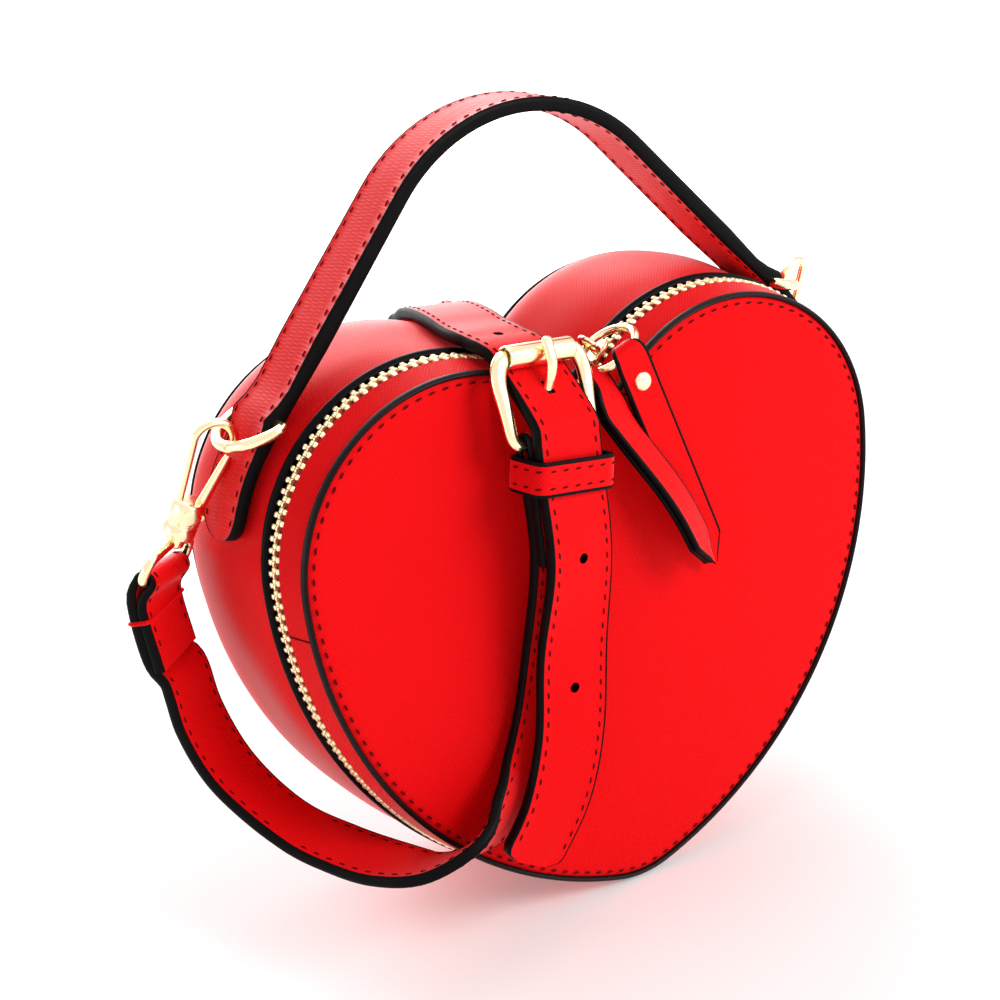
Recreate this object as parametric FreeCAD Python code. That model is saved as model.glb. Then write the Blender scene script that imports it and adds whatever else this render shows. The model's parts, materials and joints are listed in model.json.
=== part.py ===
import FreeCAD, Part
import math
import os

# Heart shaped purse with a zipped front, a carrying handle and a draped shoulder strap.
# Millimetres. +Z is up, the front faces -Y, +X is to the right seen from the front.
# The origin is the middle of the small flat under the tip, where the bag stands.

# Heart outline of the front panel, made of tangent arcs
panel_width = 205.0
lobe_spread = 49.5
lobe_rise = 126.5
side_radius = 130.0
tip_radius = 32.9
dip_radius = 15.2
floor_lift = 1.8
bag_depth = 74.0

# Crowned gusset: how far it swells past the panel's outline, and where along the depth
gusset_wall = 2.2
gusset_crown = 5.8
gusset_setback = 21.8
gusset_end_gap = 2.4
gusset_edge_growth = 3.4
gusset_crown_shares = ((0.0, 0.0), (0.22, 0.58), (0.5, 1.0), (0.78, 1.0), (0.93, 0.5))
gusset_tail_growth = 2.6

# Leather, board and lining sheets
panel_thickness = 2.4
board_thickness = 1.4
lining_thickness = 0.8
strip_wall = 1.6
seam_gap = 0.05
fold_gap = 0.1
piping_radius = 1.1
piping_growth = 0.55
panel_inset = 0.6
back_panel_growth = 0.6
back_piping_growth = 1.9
gusset_piping_radius = 1.7
gusset_piping_growth = 2.6
gusset_piping_setback = 20.0
piping_flat_share = 0.4
board_inset = 1.6
back_board_inset = 1.6
lining_inset = 2.4

# Zip round the edge of the front
zip_setback = 15.0
zip_half_gap = 0.8
tooth_reach = 2.1
tooth_low_growth = 0.45
tooth_high_growth = 3.2
tape_reach = 5.2
tape_thickness = 0.8
tape_growth = 0.25
strip_front_growth = 0.4
strip_rear_growth = 2.6
strip_to_zip = 3.2
hinge_half_width = 38.0
hinge_height = 40.0
hinge_gap = 0.5

# Handle
handle_width = 22.0
handle_thickness = 3.8
handle_apex = 249.3
handle_top_radius = 57.6
handle_centre_y = 1.0
handle_seat_gap = 0.2
handle_tab_angle = 12.0
handle_tab_corner = 9.0
ring_bar_angle = 47.0
ring_bar_seat = 2.2
ring_fold_wall = 2.0

# D-rings at the handle's ends
ring_wire_radius = 1.6
ring_bar_radius = 1.75
ring_half_width = 14.0
ring_reach = 14.0
ring_droop_angle = 18.7
pin_clearance = 0.05

# Swivel clasps
clasp_wire_radius = 1.6
crown_radius = 6.2
ring_rest_across = 2.8
ring_rest_down = 0.6
barrel_radius = 5.0
barrel_top = 19.5
barrel_bottom = 31.5
gate_pivot_out = 3.2
gate_pivot_down = 22.8
gate_tip_gap = 3.5
gate_wire_radius = 1.4
gate_eye_radius = 2.1
gate_eye_width = 3.0
gate_pin_radius = 0.9
gate_pin_length = 8.4
gate_slot_half = 1.8
spring_length = 1.5
spring_wall = 0.5
post_radius = 1.8
post_head_radius = 2.7
post_head_height = 1.4
post_head_down = 26.6
loop_wire_radius = 1.5
loop_half_width = 13.8
loop_neck_half = 3.0
loop_neck_down = 33.6
loop_shoulder_down = 37.0
loop_bar_down = 44.5
left_clasp_aim_share = (-0.40, 0.29, -0.87)
left_bar_aim_share = (0.80, 0.60, 0.0)
right_clasp_aim_share = (0.34, 0.56, -0.755)
right_bar_aim_share = (0.70, -0.71, 0.0)

# Shoulder strap
strap_width = 24.0
strap_thickness = 3.4
strap_fold_thickness = 7.0
strap_gap = 0.4
loop_fold_length = 30.0
buckle_fold_length = 35.0
fold_step = 0.6
fold_end_reach = 3.8
strap_hole_radius = 1.6
hole_pitch = 40.6
hole_count = 2
top_run_x_share = -0.225
top_run_tilt_angle = 8.0
top_run_clearance = 1.0
roller_under_gap = 1.5

# Buckle
hinge_bar_x_share = -0.235
hinge_bar_z_share = 1.240
hinge_bar_stand = 12.6
buckle_tilt_angle = 8.0
buckle_turn_angle = 8.0
buckle_lean_angle = 17.0
buckle_length = 25.5
buckle_half_width = 15.2
buckle_wire_radius = 2.4
hinge_bar_radius = 1.75
roller_bar_radius = 2.0
roller_radius = 3.3
roller_length = 25.0
prong_radius = 1.4
prong_eye_radius = 3.2
prong_eye_width = 4.0
prong_slot_gap = 0.5
prong_slot_reach = 8.0
prong_tip_reach = 4.0
prong_hole_length = 11.0
prong_rise_share = 0.5
prong_bend_reach = 4.5
strap_bend_reach = 5.0
strap_level_drop = 7.0
keeper_height = 11.0
keeper_wall = 1.5
keeper_side_gap = 2.0
keeper_drop = 4.0
keeper_tilt_angle = 11.0
keeper_face_gap = 0.6

# Zip sliders, pull ring and the two leather pulls
slider_angle = 131.0
slider_length = 8.4
slider_half_width = 3.0
slider_plate = 1.5
slider_gap = 0.4
slider_post = 0.9
bail_thickness = 1.4
bail_hole_radius = 2.6
bail_rise = 3.1
bail_wall = 1.5
parked_slider_x_share = -0.03
parked_slider_length = 5.0
pull_ring_radius = 9.5
pull_ring_wire = 1.25
pull_angle = 18.4
pull_width = 12.0
pull_length = 74.0
pull_point = 9.0
pull_layer = 1.2
pull_pocket_height = 9.0
pull_pocket_gap = 3.8
pull_ring_angle = 30.0
pull_ring_drop = 1.2
pull_tongue_width = 5.0
rear_pull_shift = 9.0
rear_pull_drop = 8.5
rear_pull_length = 68.0
rear_pull_thickness = 2.4
rear_pull_stand = 0.5
rivet_radius = 3.0
rivet_height = 1.6
rivet_down = 11.0

# One overrun serves all cuts
overrun = 3.0
half_turn = 180.0

# Strap routes. Each row is a place in shares of half the panel's width, half the depth and the
# height of the lobes' centres, then the way the strap's width points: degrees about Z and degrees down.
loop_route_shares = (
    (-1.205, 0.375, 0.770, 38.0, 0.0),
    (-1.185, 0.355, 0.650, 37.0, 0.0),
    (-1.140, 0.275, 0.525, 38.0, 0.0),
    (-1.080, 0.110, 0.430, 42.0, 0.0),
    (-1.010, -0.140, 0.356, 45.0, 0.0),
    (-0.930, -0.500, 0.310, 44.0, 0.0),
    (-0.845, -0.880, 0.282, 46.0, 3.0),
    (-0.765, -1.200, 0.280, 60.0, 15.0),
    (-0.645, -1.330, 0.312, 82.0, 36.0),
    (-0.515, -1.235, 0.362, 42.0, 46.0),
    (-0.410, -1.175, 0.432, 8.0, 36.0),
    (-0.330, -1.160, 0.545, 0.0, 22.0),
    (-0.275, -1.175, 0.700, 0.0, 10.0),
)
tail_route_shares = (
    (-0.480, -1.320, 0.235),
    (-0.375, -1.385, 0.372),
    (-0.305, -1.395, 0.530),
    (-0.265, -1.400, 0.740),
)
back_route_shares = (
    (1.180, 0.920, 0.900, -44.0),
    (1.160, 1.060, 0.765, -47.0),
    (1.085, 1.220, 0.640, -55.0),
    (0.950, 1.370, 0.532, -64.0),
    (0.800, 1.470, 0.470, -74.0),
    (0.620, 1.520, 0.445, -80.0),
    (0.450, 1.520, 0.468, -70.0),
    (0.290, 1.470, 0.540, -50.0),
    (0.165, 1.385, 0.640, -30.0),
    (0.070, 1.290, 0.765, -12.0),
    (-0.020, 1.200, 0.905, 0.0),
    (-0.090, 1.150, 1.045, 0.0),
    (-0.145, 1.180, 1.180, 0.0),
    (-0.185, 1.220, 1.300, 0.0),
    (-0.210, 1.215, 1.370, 0.0),
    (-0.222, 1.140, 1.412, 4.0),
)
top_run_shares = (1.0, 0.8, 0.5, 0.15, -0.15, -0.35, -0.46, -0.6, -0.8)

# Values worked out from the sizes above
half_depth = bag_depth / 2
half_width = panel_width / 2
lobe_radius = half_width - lobe_spread
lobe_z = floor_lift + lobe_rise
tip_z = floor_lift + tip_radius
dip_z = lobe_z + math.sqrt((lobe_radius + dip_radius) ** 2 - lobe_spread ** 2)
gusset_start_y = gusset_setback - half_depth
gusset_end_y = half_depth - gusset_end_gap
gusset_piping_y = gusset_piping_setback - half_depth
zip_y = zip_setback - half_depth


def vec(x, y, z):
    """A point or a direction."""
    return FreeCAD.Vector(x, y, z)


def unit(v):
    """The direction of a vector."""
    return v * (1 / v.Length)


def side_centre():
    """Centre of the right side's long arc, tangent inside to the lobe's and the tip's arcs."""
    lobe_gap = side_radius - lobe_radius
    tip_gap = side_radius - tip_radius
    across = lobe_spread
    down = tip_z - lobe_z
    apart = math.hypot(across, down)
    along = (lobe_gap ** 2 - tip_gap ** 2 + apart ** 2) / (2 * apart)
    off = math.sqrt(lobe_gap ** 2 - along ** 2)
    ux = -across / apart
    uz = down / apart
    return lobe_spread + ux * along + uz * off, lobe_z + uz * along - ux * off


side_x, side_z = side_centre()


def arc_about(cx, cz, radius, start, end, y):
    """Arc in the plane of the outline from one angle to another, in radians."""
    mid = (start + end) / 2
    points = [vec(cx + radius * math.cos(a), y, cz + radius * math.sin(a)) for a in (start, mid, end)]
    return Part.Arc(*points).toShape()


def heart_wire(growth, y):
    """The heart outline at one depth, grown evenly outward."""
    dip_angle = math.atan2(dip_z - lobe_z, -lobe_spread)
    side_angle = math.atan2(lobe_z - side_z, lobe_spread - side_x)
    tip_angle = math.atan2(tip_z - side_z, -side_x)
    lobe_r = lobe_radius + growth
    side_r = side_radius + growth
    tip_r = tip_radius + growth
    dip_r = dip_radius - growth
    flat = math.pi
    edges = [
        arc_about(0, dip_z, dip_r, -dip_angle, dip_angle - flat, y),
        arc_about(lobe_spread, lobe_z, lobe_r, dip_angle, side_angle, y),
        arc_about(side_x, side_z, side_r, side_angle, tip_angle, y),
        arc_about(0, tip_z, tip_r, tip_angle, -flat - tip_angle, y),
        arc_about(-side_x, side_z, side_r, -flat - tip_angle, -flat - side_angle, y),
        arc_about(-lobe_spread, lobe_z, lobe_r, flat - side_angle, flat - dip_angle, y),
    ]
    return Part.Wire(edges)


def heart_loft(profile):
    """Closed solid through heart outlines, each given as (depth, growth)."""
    return Part.makeLoft([heart_wire(growth, y) for y, growth in profile], True, True)


def heart_plate(growth, front, back):
    """Flat heart between two depths."""
    return Part.Face(heart_wire(growth, front)).extrude(vec(0, back - front, 0))


def heart_band(profile, wall):
    """Ring of sheet that follows the outline, open at the front and the back."""
    first_y, first_growth = profile[0]
    last_y, last_growth = profile[-1]
    core = [(y, growth - wall) for y, growth in profile]
    core = [(first_y - overrun, first_growth - wall)] + core + [(last_y + overrun, last_growth - wall)]
    return heart_loft(profile).cut(heart_loft(core))


def heart_piping(y, growth, radius):
    """Round edging cord along the outline, with an eight sided section."""
    near = radius * piping_flat_share
    steps = ((-radius, near), (-near, radius), (near, radius), (radius, near))
    outer = heart_loft([(y + dy, growth + dg) for dy, dg in steps])
    inner = heart_loft([(y + dy, growth - dg) for dy, dg in steps])
    return outer.cut(inner)


def block(x0, x1, y0, y1, z0, z1):
    """Box between two corners."""
    return Part.makeBox(x1 - x0, y1 - y0, z1 - z0, vec(x0, y0, z0))


def below_floor():
    """Everything under the flat that the bag stands on."""
    return block(-panel_width, panel_width, -bag_depth, bag_depth, -bag_depth, 0)


def tip_block(half):
    """The stretch under the tip that the hinge strip takes up."""
    return block(-half, half, -bag_depth, bag_depth, -bag_depth, hinge_height)


def rod(start, end, radius):
    """Round bar between two points."""
    way = end - start
    return Part.makeCylinder(radius, way.Length, start, way)


def bent_rod(points, radius):
    """Round bar along a run of points, rounded at the turns."""
    pieces = [rod(a, b, radius) for a, b in zip(points, points[1:])]
    pieces += [Part.makeSphere(radius, p) for p in points[1:-1]]
    return pieces[0].fuse(pieces[1:])


def slab(centre, axes, sizes):
    """Box of three sizes about a centre, along three square axes."""
    half = [axis * (size / 2) for axis, size in zip(axes, sizes)]
    corner = centre - half[0] - half[1] - half[2]
    first = corner + half[0] * 2
    base = Part.makePolygon([corner, first, first + half[1] * 2, corner + half[1] * 2, corner])
    return Part.Face(base).extrude(half[2] * 2)


def ribbon(stations):
    """Strap through stations of (centre, width direction, width, thickness)."""
    wires = []
    last = len(stations) - 1
    for i, (centre, aim, width, thickness) in enumerate(stations):
        way = unit(stations[min(i + 1, last)][0] - stations[max(i - 1, 0)][0])
        across = unit(aim - way * aim.dot(way)) * (width / 2)
        through = unit(way.cross(across)) * (thickness / 2)
        signs = ((1, 1), (-1, 1), (-1, -1), (1, -1), (1, 1))
        wires.append(Part.makePolygon([centre + across * a + through * b for a, b in signs]))
    return Part.makeLoft(wires, True, True)


def turned(degrees, dip=0):
    """Direction at an angle from +X about Z, dipped below level."""
    level = math.cos(math.radians(dip))
    turn = math.radians(degrees)
    return vec(level * math.cos(turn), level * math.sin(turn), -math.sin(math.radians(dip)))


def place(shares):
    """Point given in shares of half the width, half the depth and the lobes' height."""
    return vec(shares[0] * half_width, shares[1] * half_depth, shares[2] * lobe_z)


def save(name, shape):
    """Write one piece, after checking that it is one sound solid."""
    solids = shape.Solids
    if len(solids) != 1 or not solids[0].isValid():
        raise ValueError(f"{name}: {len(solids)} solids")
    solids[0].exportStep(f"parts/{name}.step")
    print(name, round(solids[0].Volume, 1), "mm3")


# Body of the bag

def crown_profile(inset):
    """Swelling of the gusset along the depth, drawn in by an inset."""
    span = gusset_end_y - gusset_start_y
    rise = gusset_crown - gusset_edge_growth
    rows = []
    for along, swell in gusset_crown_shares:
        rows.append((gusset_start_y + along * span, gusset_edge_growth + swell * rise - inset))
    rows.append((gusset_end_y, gusset_tail_growth - inset))
    return rows


def gusset_growth(y):
    """Swelling of the outside at one depth, from the front edge to the back."""
    rows = [(-half_depth, piping_growth + piping_radius)]
    rows.append((zip_y, tooth_high_growth))
    rows.append((gusset_piping_y, gusset_piping_growth + gusset_piping_radius))
    rows += crown_profile(0)
    for (y0, g0), (y1, g1) in zip(rows, rows[1:]):
        if y0 <= y <= y1:
            return g0 + (g1 - g0) * (y - y0) / (y1 - y0)
    return rows[-1][1]


def hollow_band(inset, wall, flat_height):
    """Gusset sheet with a flat bottom at a height."""
    outer = heart_loft(crown_profile(inset))
    outer = outer.cut(below_floor().translated(vec(0, 0, flat_height)))
    core = crown_profile(inset + wall)
    core = [(core[0][0] - overrun, core[0][1])] + core + [(core[-1][0] + overrun, core[-1][1])]
    inner = heart_loft(core).cut(below_floor().translated(vec(0, 0, flat_height + wall)))
    return outer.cut(inner)


def build_body():
    """Gusset, back, linings and the fixed half of the zip."""
    save("main_gusset", hollow_band(0, gusset_wall, 0))
    lining_low = gusset_wall + seam_gap
    save("gusset_lining", hollow_band(lining_low, lining_thickness, lining_low))
    edge = heart_piping(gusset_piping_y, gusset_piping_growth, gusset_piping_radius)
    save("gusset_piping", edge.cut(below_floor()))
    back_front = gusset_end_y + seam_gap
    save("back_panel", heart_plate(back_panel_growth, back_front, half_depth))
    back_edge = heart_piping(back_front + piping_radius + seam_gap, back_piping_growth, piping_radius)
    save("back_piping", back_edge.cut(below_floor()))
    board_back = gusset_end_y - seam_gap
    board_front = board_back - board_thickness
    save("back_board", heart_plate(-back_board_inset, board_front, board_back))
    lining_back = board_front - seam_gap
    save("back_lining", heart_plate(-lining_inset, lining_back - lining_thickness, lining_back))
    rear_edge = zip_y + zip_half_gap
    teeth = heart_band(((rear_edge, tooth_high_growth), (rear_edge + tooth_reach, tooth_high_growth)),
                       tooth_high_growth - tooth_low_growth)
    save("rear_zip_teeth", teeth.cut(tip_block(hinge_half_width)))
    tape = heart_band(((rear_edge, tape_growth), (rear_edge + tape_reach, tape_growth)), tape_thickness)
    save("rear_zip_tape", tape.cut(tip_block(hinge_half_width)))
    strip_front = -half_depth + panel_thickness + fold_gap
    strip_back = gusset_piping_y - gusset_piping_radius - fold_gap
    strip = heart_band(((strip_front, strip_front_growth), (strip_back, strip_rear_growth)), strip_wall)
    strip = strip.cut(below_floor()).common(tip_block(hinge_half_width - hinge_gap))
    save("hinge_strip", strip)


def build_front():
    """Front panel, its edge, its strip and its half of the zip."""
    panel_back = -half_depth + panel_thickness
    save("front_panel", heart_plate(-panel_inset, -half_depth, panel_back))
    save("front_piping", heart_piping(-half_depth + panel_inset, piping_growth, piping_radius))
    strip_front = panel_back + fold_gap
    strip_back = zip_y - strip_to_zip
    strip = heart_band(((strip_front, strip_front_growth), (strip_back, strip_rear_growth)), strip_wall)
    save("front_zip_strip", strip.cut(tip_block(hinge_half_width)))
    front_edge = zip_y - zip_half_gap
    teeth = heart_band(((front_edge - tooth_reach, tooth_high_growth), (front_edge, tooth_high_growth)),
                       tooth_high_growth - tooth_low_growth)
    save("front_zip_teeth", teeth.cut(tip_block(hinge_half_width)))
    tape = heart_band(((front_edge - tape_reach, tape_growth), (front_edge, tape_growth)), tape_thickness)
    save("front_zip_tape", tape.cut(tip_block(hinge_half_width)))
    board_front = panel_back + seam_gap
    board_back = board_front + board_thickness
    save("front_board", heart_plate(-board_inset, board_front, board_back))
    lining_front = board_back + seam_gap
    save("front_lining", heart_plate(-lining_inset, lining_front, lining_front + lining_thickness))


# Handle and the rings in its ends

def ring_bar(side):
    """Centre of a D-ring's bar, on the lobe where the handle leaves it."""
    reach = lobe_radius + gusset_crown + handle_seat_gap + ring_bar_seat
    angle = math.radians(ring_bar_angle)
    return vec(side * (lobe_spread + reach * math.cos(angle)), handle_centre_y, lobe_z + reach * math.sin(angle))


def build_handle():
    """Flat strap: sewn ends along the lobes, straight legs and a round top."""
    seat = lobe_radius + gusset_crown + handle_seat_gap
    top_z = handle_apex - handle_top_radius
    apart = math.hypot(lobe_spread, lobe_z - top_z)
    slope = math.atan2(lobe_z - top_z, lobe_spread)
    leg = slope + math.acos((handle_top_radius - seat - handle_thickness) / apart)
    tab = math.radians(handle_tab_angle)
    front = handle_centre_y - handle_width / 2

    def half_path(lobe_r, top_r):
        lobe = arc_about(lobe_spread, lobe_z, lobe_r, tab, leg, front)
        start = vec(lobe_spread + lobe_r * math.cos(leg), front, lobe_z + lobe_r * math.sin(leg))
        end = vec(top_r * math.cos(leg), front, top_z + top_r * math.sin(leg))
        return [lobe, Part.LineSegment(start, end).toShape()]

    def full_path(lobe_r, top_r):
        right = half_path(lobe_r, top_r)
        left = [edge.mirror(vec(0, 0, 0), vec(1, 0, 0)) for edge in right]
        return right + [arc_about(0, top_z, top_r, leg, math.pi - leg, front)] + left

    outer = full_path(seat + handle_thickness, handle_top_radius)
    inner = full_path(seat, handle_top_radius - handle_thickness)
    caps = []
    for side in (1, -1):
        ends = []
        for radius in (seat, seat + handle_thickness):
            ends.append(vec(side * (lobe_spread + radius * math.cos(tab)), front, lobe_z + radius * math.sin(tab)))
        caps.append(Part.LineSegment(*ends).toShape())
    outline = Part.Wire(Part.__sortEdges__(outer + inner + caps))
    strap = Part.Face(outline).extrude(vec(0, handle_width, 0))
    tab_low = lobe_z + (seat + handle_thickness) * math.sin(tab) + fold_step
    corners = [e for e in strap.Edges if abs(e.Length - handle_thickness) < seam_gap and e.BoundBox.ZMax < tab_low]
    strap = strap.makeFillet(handle_tab_corner, corners)
    for side in (1, -1):
        centre = ring_bar(side)
        low = centre - vec(0, handle_width / 2, 0)
        bump = Part.makeCylinder(ring_bar_radius + ring_fold_wall, handle_width, low, vec(0, 1, 0))
        lobe = vec(side * lobe_spread, low.y, lobe_z)
        bump = bump.cut(Part.makeCylinder(seat, handle_width, lobe, vec(0, 1, 0)))
        strap = strap.fuse(bump)
    for side in (1, -1):
        low = ring_bar(side) - vec(0, handle_width, 0)
        bore = Part.makeCylinder(ring_bar_radius + pin_clearance, 2 * handle_width, low, vec(0, 1, 0))
        strap = strap.cut(bore)
    save("handle", strap)


def ring_outward(side):
    """Way a D-ring points from its bar."""
    droop = math.radians(ring_droop_angle)
    return vec(side * math.cos(droop), 0, -math.sin(droop))


def build_d_ring(side, name):
    """Bar along Y closed by a round bow."""
    bar = ring_bar(side)
    out = ring_outward(side)
    along = vec(0, 1, 0)
    ends = [bar - along * ring_half_width, bar + along * ring_half_width]
    bow_radius = (ring_half_width ** 2 + ring_reach ** 2) / (2 * ring_reach)
    centre = bar + out * (ring_reach - bow_radius)
    axis = out.cross(along)
    sweep = 2 * math.atan2(ring_half_width, bow_radius - ring_reach)
    tangent = axis.cross(ends[0] - centre)
    disc = Part.Face(Part.Wire(Part.makeCircle(ring_wire_radius, ends[0], tangent)))
    bow = disc.revolve(centre, axis, math.degrees(sweep))
    beyond = along * ring_bar_radius
    save(name, rod(ends[0] - beyond, ends[1] + beyond, ring_bar_radius).fuse(bow))


# Clasps

class ClaspFrame:
    """Axes of one clasp: down its length, across its hook and through its hook."""

    def __init__(self, side, aim, bar_aim):
        self.side = side
        self.down = unit(vec(*aim))
        through = vec(0, 1, 0)
        self.through = unit(through - self.down * through.dot(self.down))
        self.across = self.down.cross(self.through) * -side
        self.bar_way = unit(vec(*bar_aim) - self.down * vec(*bar_aim).dot(self.down))
        wire = ring_bar(side) + ring_outward(side) * ring_reach
        self.centre = wire - self.across * ring_rest_across - self.down * ring_rest_down

    def at(self, across, down, through=0):
        """Point of the clasp from its crown's centre."""
        return self.centre + self.across * across + self.down * down + self.through * through

    def bar(self):
        """Middle of the bar that holds the strap."""
        return self.centre + self.down * loop_bar_down


def clasp_frames():
    """The clasp at each end of the strap."""
    left = ClaspFrame(-1, left_clasp_aim_share, left_bar_aim_share)
    right = ClaspFrame(1, right_clasp_aim_share, right_bar_aim_share)
    return {"left": left, "right": right}


def build_clasp(name, frame):
    """Hook with its barrel, sprung gate, gate pin and swivelling strap loop."""
    disc = Part.Wire(Part.makeCircle(clasp_wire_radius, frame.at(crown_radius, 0), frame.down))
    crown = Part.Face(disc).revolve(frame.centre, frame.through, half_turn * frame.side)
    leg_foot = frame.at(clasp_wire_radius - barrel_radius, barrel_top + overrun)
    leg = rod(frame.at(-crown_radius, 0), leg_foot, clasp_wire_radius)
    joint = Part.makeSphere(clasp_wire_radius, frame.at(-crown_radius, 0))
    barrel = rod(frame.at(0, barrel_top), frame.at(0, barrel_bottom), barrel_radius)
    hook = crown.fuse([leg, joint, barrel])
    axes = (frame.across, frame.down, frame.through)
    slot_out = barrel_radius + gate_eye_radius
    slot_down = gate_pivot_down + gate_eye_radius + seam_gap - barrel_top + overrun
    slot_through = 2 * gate_slot_half + spring_length
    slot_centre = frame.at(slot_out / 2, barrel_top - overrun + slot_down / 2, spring_length / 2)
    hook = hook.cut(slab(slot_centre, axes, (slot_out, slot_down, slot_through)))
    pin_ends = [frame.at(gate_pivot_out, gate_pivot_down, s * gate_pin_length / 2) for s in (-1, 1)]
    hook = hook.cut(rod(pin_ends[0], pin_ends[1], gate_pin_radius + pin_clearance))
    head_low = post_head_down + post_head_height
    head_bore = rod(frame.at(0, post_head_down - pin_clearance), frame.at(0, head_low + pin_clearance),
                    post_head_radius + pin_clearance)
    post_bore = rod(frame.at(0, post_head_down), frame.at(0, barrel_bottom + overrun), post_radius + pin_clearance)
    save(f"clasp_hook_{name}", hook.cut(head_bore).cut(post_bore))
    save(f"gate_pin_{name}", rod(pin_ends[0], pin_ends[1], gate_pin_radius))

    eye_ends = [frame.at(gate_pivot_out, gate_pivot_down, s * gate_eye_width / 2) for s in (-1, 1)]
    tip = frame.at(crown_radius, gate_tip_gap)
    arm = rod(frame.at(gate_pivot_out, gate_pivot_down), tip, gate_wire_radius)
    gate = rod(eye_ends[0], eye_ends[1], gate_eye_radius).fuse(arm)
    save(f"clasp_gate_{name}", gate.cut(rod(pin_ends[0], pin_ends[1], gate_pin_radius + pin_clearance)))
    spring_start = gate_eye_width / 2 + pin_clearance
    spring_ends = [frame.at(gate_pivot_out, gate_pivot_down, spring_start + s * spring_length) for s in (0, 1)]
    spring_bore = gate_pin_radius + pin_clearance
    coil = rod(spring_ends[0], spring_ends[1], spring_bore + spring_wall)
    save(f"gate_spring_{name}", coil.cut(rod(pin_ends[0], pin_ends[1], spring_bore)))

    def loop_point(across, down):
        return frame.centre + frame.bar_way * across + frame.down * down

    outline = [
        loop_point(0, loop_neck_down),
        loop_point(loop_neck_half, loop_neck_down),
        loop_point(loop_half_width, loop_shoulder_down),
        loop_point(loop_half_width, loop_bar_down),
        loop_point(-loop_half_width, loop_bar_down),
        loop_point(-loop_half_width, loop_shoulder_down),
        loop_point(-loop_neck_half, loop_neck_down),
        loop_point(0, loop_neck_down),
    ]
    loop = bent_rod(outline, loop_wire_radius)
    post = rod(frame.at(0, post_head_down), frame.at(0, loop_neck_down), post_radius)
    head = rod(frame.at(0, post_head_down), frame.at(0, head_low), post_head_radius)
    save(f"swivel_loop_{name}", loop.fuse([post, head]))


# Buckle and straps

class BuckleFrame:
    """Axes of the buckle: across it, up it and out of its face, from the hinge bar."""

    def __init__(self):
        lean = math.radians(buckle_lean_angle)
        self.across = turned(buckle_turn_angle, buckle_tilt_angle)
        self.level = turned(buckle_turn_angle)
        self.ahead = self.level.cross(vec(0, 0, 1))
        steep = vec(0, math.sin(lean), math.cos(lean))
        self.up = unit(steep - self.across * steep.dot(self.across))
        self.out = self.across.cross(self.up)
        self.bar = vec(hinge_bar_x_share * half_width, -half_depth - hinge_bar_stand, hinge_bar_z_share * lobe_z)

    def at(self, across, up, out=0):
        """Point of the buckle from the middle of its hinge bar."""
        return self.bar + self.across * across + self.up * up + self.out * out


def build_buckle(frame):
    """Frame, roller, prong and the keeper under it."""
    low = [frame.at(s * buckle_half_width, 0) for s in (-1, 1)]
    high = [frame.at(s * buckle_half_width, buckle_length) for s in (-1, 1)]
    pieces = [rod(low[0], high[0], buckle_wire_radius), rod(low[1], high[1], buckle_wire_radius)]
    pieces += [Part.makeSphere(buckle_wire_radius, p) for p in low + high]
    pieces.append(rod(high[0], high[1], roller_bar_radius))
    save("buckle_frame", rod(low[0], low[1], hinge_bar_radius).fuse(pieces))
    roller_ends = [frame.at(s * roller_length / 2, buckle_length) for s in (-1, 1)]
    roller = rod(roller_ends[0], roller_ends[1], roller_radius)
    save("buckle_roller", roller.cut(rod(high[0], high[1], roller_bar_radius + pin_clearance)))
    eye_ends = [frame.at(s * prong_eye_width / 2, 0) for s in (-1, 1)]
    rest_out = roller_radius + strap_gap + prong_radius
    path = [frame.at(0, hinge_bar_radius + prong_radius), frame.at(0, buckle_length * prong_rise_share)]
    path.append(frame.at(0, buckle_length - prong_bend_reach, rest_out))
    path.append(frame.at(0, buckle_length + prong_tip_reach, rest_out))
    prong = bent_rod(path, prong_radius).fuse(rod(eye_ends[0], eye_ends[1], prong_eye_radius))
    prong = prong.cut(rod(low[0], low[1], hinge_bar_radius + pin_clearance))
    save("buckle_prong", prong)


def front_stack():
    """Depths of the middle of the folded half, the single half and the tail on the front."""
    back = -half_depth - hinge_bar_stand + strap_fold_thickness / 2
    folded = back - strap_fold_thickness / 2
    single = back - strap_thickness / 2
    tail = back - strap_fold_thickness - strap_gap - strap_thickness / 2
    return folded, single, tail


def keeper_station(frame, down):
    """Point of the straps' straight run under the buckle, at the depth of the hinge bar."""
    return frame.bar - vec(0, 0, down)


def build_keeper(frame):
    """Flat leather loop round both halves of the strap."""
    folded, _, tail = front_stack()
    inner_back = folded + strap_fold_thickness / 2 + keeper_face_gap
    inner_front = tail - strap_thickness / 2 - keeper_face_gap
    half = strap_width / 2 + keeper_side_gap
    middle = keeper_station(frame, keeper_drop + keeper_height / 2)
    top = middle.z + keeper_height / 2
    bottom = middle.z - keeper_height / 2
    outer = block(middle.x - half - keeper_wall, middle.x + half + keeper_wall,
                  inner_front - keeper_wall, inner_back + keeper_wall, bottom, top)
    hole = block(middle.x - half, middle.x + half, inner_front, inner_back, bottom - overrun, top + overrun)
    band = outer.cut(hole)
    band.rotate(middle, vec(0, 1, 0), keeper_tilt_angle)
    band.rotate(middle, vec(0, 0, 1), buckle_turn_angle)
    save("strap_keeper", band)


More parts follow.
